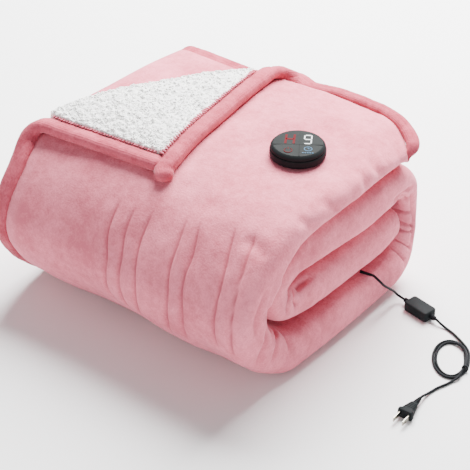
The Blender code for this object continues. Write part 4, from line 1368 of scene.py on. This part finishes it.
def endBindingPath():
    # a flat band on the turned corner, a narrow roll along the back edge, thinner round the right-hand fold
    places, ways, thicks, widths = [], [], [], []
    for along in reversed(turnedSteps(corner["endLast"])):
        place, way = cornerBinding(1, along)
        place -= way * (binding["settle"] * ease(along / 0.1))
        places.append(place)
        ways.append(way)
        thicks.append(cornerThick * binding["full"])
        widths.append(fold["bindingWidth"])
    outline, count = clothOutline(0.0)
    thick, whole = ply(0.0)[0], stripDepth(0.0)
    flannel = outline[:count]
    edge, edgeWays, deep = [], [], []
    picks = [p for k, p in enumerate(flannel) if k % 3 == 0 and (p[0] > 0.0 or k > outerCount)]
    for k, (x, depth) in enumerate(picks):
        near, far = picks[max(k - 1, 0)], picks[min(k + 1, len(picks) - 1)]
        way = Vector((far[0] - near[0], far[1] - near[1])).normalized()
        inside = (x - way.y * thick, depth + way.x * thick)
        high, low = stripPoint(x, 0.0, depth), stripPoint(inside[0], 0.0, inside[1])
        edge.append((high + low) / 2)
        edgeWays.append((low - high).normalized())
        deep.append(depth / whole)
    for k, place in enumerate(edge):
        ahead = (edge[min(k + 1, len(edge) - 1)] - edge[max(k - 1, 0)]).normalized()
        across = ahead.cross(edgeWays[k]).normalized()
        carried = Vector(rollOn(place, 1.0)) - place
        slim = ease(deep[k] / 0.45)
        wide = rollEdge["roll"] * (1 - 0.62 * slim)
        wide += (fold["bindingWidth"] - wide) * (1 - ease((place.x + 0.02) / 0.075))
        rise = ease(place.x / 0.05) * (1 - slim)
        places.append(place + carried + across * (wide / 2 - 0.0005 - 0.0045 * slim)
                      + Vector((0, 0, rollEdge["lift"] * rise)))
        ways.append(edgeWays[k])
        full = binding["fill"] + (rollEdge["full"] - binding["fill"]) * rise
        thicks.append(thick * full * (1 - 0.3 * slim))
        widths.append(wide)
    return places, ways, thicks, widths


def resample(places, ways, thicks, widths, step, rounds):
    # the path at even steps, with the joins between its stretches softened
    places = np.array([tuple(p) for p in places])
    lengths = np.cumsum(np.r_[0.0, np.linalg.norm(np.diff(places, axis=0), axis=1)])
    wanted = np.linspace(0, lengths[-1], int(lengths[-1] / step) + 1)
    index = np.interp(wanted, lengths, np.arange(len(lengths)))

    def smooth(rows):
        listed = list(zip(*rows))
        return np.array([[catmull(column, i) for column in listed] for i in index])
    places, ways = smooth(places), smooth(ways)
    thicks, widths = smooth(zip(thicks, widths)).T
    for _ in range(rounds):
        for field in (places, ways):
            field[1:-1] = 0.25 * field[:-2] + 0.5 * field[1:-1] + 0.25 * field[2:]
    return places, ways, thicks, widths, wanted


def buildBinding(name, node, path, seed, rounds):
    places, ways, thicks, widths, lengths = resample(*path, binding["step"], rounds)
    ahead = np.gradient(places, axis=0)
    ahead /= np.linalg.norm(ahead, axis=1, keepdims=True)
    across = np.cross(ahead, ways)
    across /= np.linalg.norm(across, axis=1, keepdims=True)
    up = np.cross(across, ahead)
    angles = 2 * math.pi * (np.arange(binding["sides"]) + 0.5) / binding["sides"]
    flat = np.sign(np.cos(angles)) * np.abs(np.cos(angles)) ** 0.80
    tall = np.sign(np.sin(angles)) * np.abs(np.sin(angles)) ** 0.86
    ribs = binding["ribDepth"] * np.cos(math.pi * binding["ribs"] * flat) * np.abs(np.sin(angles))
    rings = []
    for k, place in enumerate(places):
        pucker = sum(height * noise.noise(Vector((lengths[k] * cells, seed + 5 * turn, 0)))
                     for turn, (cells, height) in enumerate(binding["pucker"]))
        half, tallHalf = widths[k] / 2, thicks[k] / 2
        rings.append(place + np.outer(flat * half, across[k])
                     + np.outer(tall * tallHalf + np.sign(tall) * (ribs + pucker), up[k]))
    for end, inner in ((0, 1), (-1, -2)):    # a rounded end
        way = places[end] - places[inner]
        way /= np.linalg.norm(way)
        base, cap = rings[end], []
        for part in (0.2, 0.4, 0.6, 0.78, 0.91, 1.0):
            size = math.sqrt(max(1 - part ** 2, 0.004))
            cap.append(places[end] + way * (thicks[end] * 0.55 * part) + (base - places[end]) * size)
        rings = cap[::-1] + rings if end == 0 else rings + cap
    rings = np.array(rings) + np.array(shift)
    rings[:, :, 2] = np.maximum(rings[:, :, 2], 0.0)             # flat where it meets the surface
    made = gridSurface(name, rings, bindingPile)
    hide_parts(node)
    return made, places, thicks, ahead, across, up


sidePiece = buildBinding("sideBinding", "binding_side", sideBindingPath(), 2.0, 30)
endPiece = buildBinding("endBinding", "binding_end", endBindingPath(), 9.0, 4)


def buildStitches(name, piece, first, last, seed):
    # short whipped stitches over the edge of the binding, on the fleece side
    _, places, thicks, ahead, across, up = piece
    picker = random.Random(seed)
    middle = np.array(turnLine(0.5).lerp(Vector(corner["tip"]), 0.35))
    work = bmesh.new()
    every = max(1, round(binding["stitchPitch"] / binding["step"]))
    for k in range(first, last, every):
        toFleece = middle - places[k][:2]
        side = math.copysign(1.0, float(across[k][:2] @ toFleece))
        lift = math.copysign(1.0, float(up[k][2]))
        spot = (places[k] + across[k] * (side * (fold["bindingWidth"] / 2 - binding["stitchInset"]))
                + up[k] * (lift * (thicks[k] * 0.50)))
        slant = picker.uniform(*binding["stitchSlant"])
        lean = lift * binding["stitchLean"]
        way = Vector(across[k] * side - up[k] * lean + ahead[k] * slant).normalized()
        length, wide, tall = binding["stitch"]
        half = length / 2 * picker.uniform(*binding["stitchSpread"])
        made = bmesh.ops.create_uvsphere(work, u_segments=8, v_segments=6, radius=1)["verts"]
        bmesh.ops.scale(work, vec=(half, wide, tall), verts=made)
        turnAndMove(work, way.to_track_quat("X", "Z").to_matrix(), Vector(spot) + shift, made)
    stitches = fromWork(name, work, stitchThread)
    return stitches


sideCount, endCount = len(sidePiece[1]), len(endPiece[1])
cornerSide = [k for k in range(sideCount) if sidePiece[1][k][2] > 0.215]
sideStitches = buildStitches("sideStitches", sidePiece, cornerSide[0] + 18, sideCount - 4, 31)
cornerEnd = next(k for k in range(20, endCount) if endPiece[1][k][1] > 0.150)
endStitches = buildStitches("endStitches", endPiece, 12, cornerEnd, 37)
print("bindings ready", len(sidePiece[0].data.vertices), len(endPiece[0].data.vertices))


# ---------- controller
controller = {
    "spot": (0.110, 0.025),
    "radius": 0.0358,
    "base": 0.0105,
    "face": 0.0065,
    "inset": 0.0011,
    "turn": 36.0,            # heading of the face's own left-to-right line
}


def controllerSeat():
    x, y = controller["spot"]
    ring = [math.radians(30 * k) for k in range(12)]
    spots = [(x + controller["radius"] * math.cos(a), y + controller["radius"] * math.sin(a)) for a in ring]
    return max(topHeight(*spot) for spot in spots + [(x, y)]) + fold["gap"]


def revolved(name, outline, centre, material, sides=96, sharp=35):
    work = spun([(radius, 0.0, level) for radius, level in outline], (0, 0, 1), sides)
    bmesh.ops.translate(work, vec=centre, verts=work.verts)
    return fromWork(name, work, material, sharp)


def buildController():
    radius, base, face = controller["radius"], controller["base"], controller["face"]
    low = Vector((*controller["spot"], controllerSeat())) + shift
    lower = revolved("controllerBase", (
        (0.0, 0.0), (radius - 0.0030, 0.0), (radius - 0.0012, 0.0006), (radius - 0.0003, 0.0020),
        (radius, 0.0036), (radius, 0.0062), (radius, base - 0.0016),
        (radius - 0.0002, base - 0.0007), (radius - 0.0006, base - 0.0002), (radius - 0.0010, base),
        (0.0, base)), low, caseBlack)
    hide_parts("controller_base")
    top = radius - controller["inset"]
    upper = revolved("controllerFace", (
        (0.0, 0.0), (top - 0.0006, 0.0), (top, 0.0008), (top, face - 0.0034), (top - 0.0003, face - 0.0028),
        (top - 0.0024, face - 0.0006), (top - 0.0028, face - 0.0004), (top - 0.0031, face - 0.0005),
        (top - 0.0034, face - 0.0001), (top * 0.6, face + 0.0003), (0.0, face + 0.0004)),
        low + Vector((0, 0, base + fold["gap"])), faceGrey, 128, 30)
    upper.data.materials.append(caseBlack)                       # its bevelled wall is as black as the base
    for side in upper.data.polygons:
        side.material_index = int(side.normal.z < 0.94)
    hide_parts("controller_face")
    return low + Vector((0, 0, base + fold["gap"] + face + 0.0004))


faceTop = buildController()


def onFace(name, work, material):
    # from the face's own plane, in metres, to its place on the controller
    turnAndMove(work, Matrix.Rotation(math.radians(controller["turn"]), 3, "Z"), faceTop)
    return fromWork(name, work, material, 30)


def bar(work, start, end, width, pointed=True, height=0.00025, sink=0.0006):
    # a thin raised bar; pointed ends, as display segments have
    start, end = Vector(start), Vector(end)
    way = (end - start).normalized()
    aside = Vector((-way.y, way.x)) * width / 2
    if pointed:
        near, far = start + way * width / 2, end - way * width / 2
        corners = [start, near - aside, far - aside, end, far + aside, near + aside]
    else:
        corners = [start - aside, end - aside, end + aside, start + aside]
    made = bmesh.ops.create_circle(work, segments=len(corners), radius=1, cap_ends=True)["verts"]
    for vert, spot in zip(made, corners):
        vert.co = (spot.x, spot.y, -sink)
    raised = bmesh.ops.extrude_face_region(work, geom=[made[0].link_faces[0]])["geom"]
    raised = [v for v in raised if isinstance(v, bmesh.types.BMVert)]
    bmesh.ops.translate(work, vec=(0, 0, height + sink), verts=raised)
    bmesh.ops.recalc_face_normals(work, faces=list({f for v in made + raised for f in v.link_faces}))


def arc(work, centre, radius, first, last, width, steps=28):
    for k in range(steps):
        a, b = (math.radians(first + (last - first) * (k + side) / steps) for side in (-0.02, 1.02))
        bar(work, (centre[0] + radius * math.cos(a), centre[1] + radius * math.sin(a)),
            (centre[0] + radius * math.cos(b), centre[1] + radius * math.sin(b)), width, pointed=False)


def segments(name, lit, centre, size, slant, width, material, split=True):
    # seven-segment figure: top, upper right, lower right, bottom, lower left, upper left, middle
    halfWide, halfTall = size[0] / 2, size[1] / 2
    gap = width * 0.35 if split else 0.0

    def spot(x, y):
        return centre[0] + x + slant * y, centre[1] + y
    lines = {
        "top": ((-halfWide + gap, halfTall), (halfWide - gap, halfTall)),
        "upperRight": ((halfWide, halfTall - gap), (halfWide, gap)),
        "lowerRight": ((halfWide, -gap), (halfWide, -halfTall + gap)),
        "bottom": ((-halfWide + gap, -halfTall), (halfWide - gap, -halfTall)),
        "lowerLeft": ((-halfWide, -gap), (-halfWide, -halfTall + gap)),
        "upperLeft": ((-halfWide, halfTall - gap), (-halfWide, gap)),
        "middle": ((-halfWide + gap, 0), (halfWide - gap, 0)),
    }
    work = bmesh.new()
    for key in lit:
        start, end = lines[key]
        bar(work, spot(*start), spot(*end), width, split)
    onFace(name, work, material)


# places in the face's own plane, in metres
display = {
    # centre, size and bar width of the two figures
    "heat": ((-0.0102, 0.0090), (0.0104, 0.0215), 0.0028),
    "hours": ((0.0122, 0.0084), (0.0088, 0.0200), 0.0015),
    "slant": 0.06,
    "lines": (((-0.0308, -0.0037), (0.0308, -0.0037)), ((0.0016, -0.0037), (0.0016, -0.0304))),
    "lineWidth": 0.0009,
    "lineHeight": 0.00006,
    # centre and radius of the two marks, and their strokes' ends
    "power": ((-0.0122, -0.0182), 0.0050),
    "powerStroke": ((-0.0122, -0.0150), (-0.0122, -0.0110)),
    "powerWidth": 0.0010,
    "clock": ((0.0126, -0.0142), 0.0048),
    "hands": ((0.0126, -0.0110), (0.0152, -0.0142)),
    "handWidth": 0.0008,
    "arcWidth": 0.0009,
    # a row of bars under the clock: start, end of the first, pitch, width
    "bars": (0.0052, 0.0072, 0.0030, 0.0011),
    "barLevel": -0.0234,
}


def buildDisplay():
    centre, size, width = display["heat"]
    segments("displayHeat", ("upperRight", "lowerRight", "lowerLeft", "upperLeft", "middle"),
             centre, size, display["slant"], width, redSegments, split=False)
    centre, size, width = display["hours"]
    segments("displayHours", ("top", "upperRight", "lowerRight", "bottom", "upperLeft", "middle"),
             centre, size, display["slant"], width, whiteSegments)

    work = bmesh.new()
    for start, end in display["lines"]:
        bar(work, start, end, display["lineWidth"], pointed=False, height=display["lineHeight"])
    onFace("displayLines", work, lineBlack)

    work = bmesh.new()
    arc(work, *display["power"], 120, 420, display["arcWidth"])
    bar(work, *display["powerStroke"], display["powerWidth"], pointed=False)
    onFace("powerMark", work, faintRed)

    work = bmesh.new()
    arc(work, *display["clock"], 0, 360, display["arcWidth"])
    for end in display["hands"]:
        bar(work, display["clock"][0], end, display["handWidth"], pointed=False)
    first, last, pitch, width = display["bars"]
    level = display["barLevel"]
    for k in range(5):
        bar(work, (first + pitch * k, level), (last + pitch * k, level), width, pointed=False)
    onFace("clockMark", work, blueMarks)


buildDisplay()
print("controller ready")
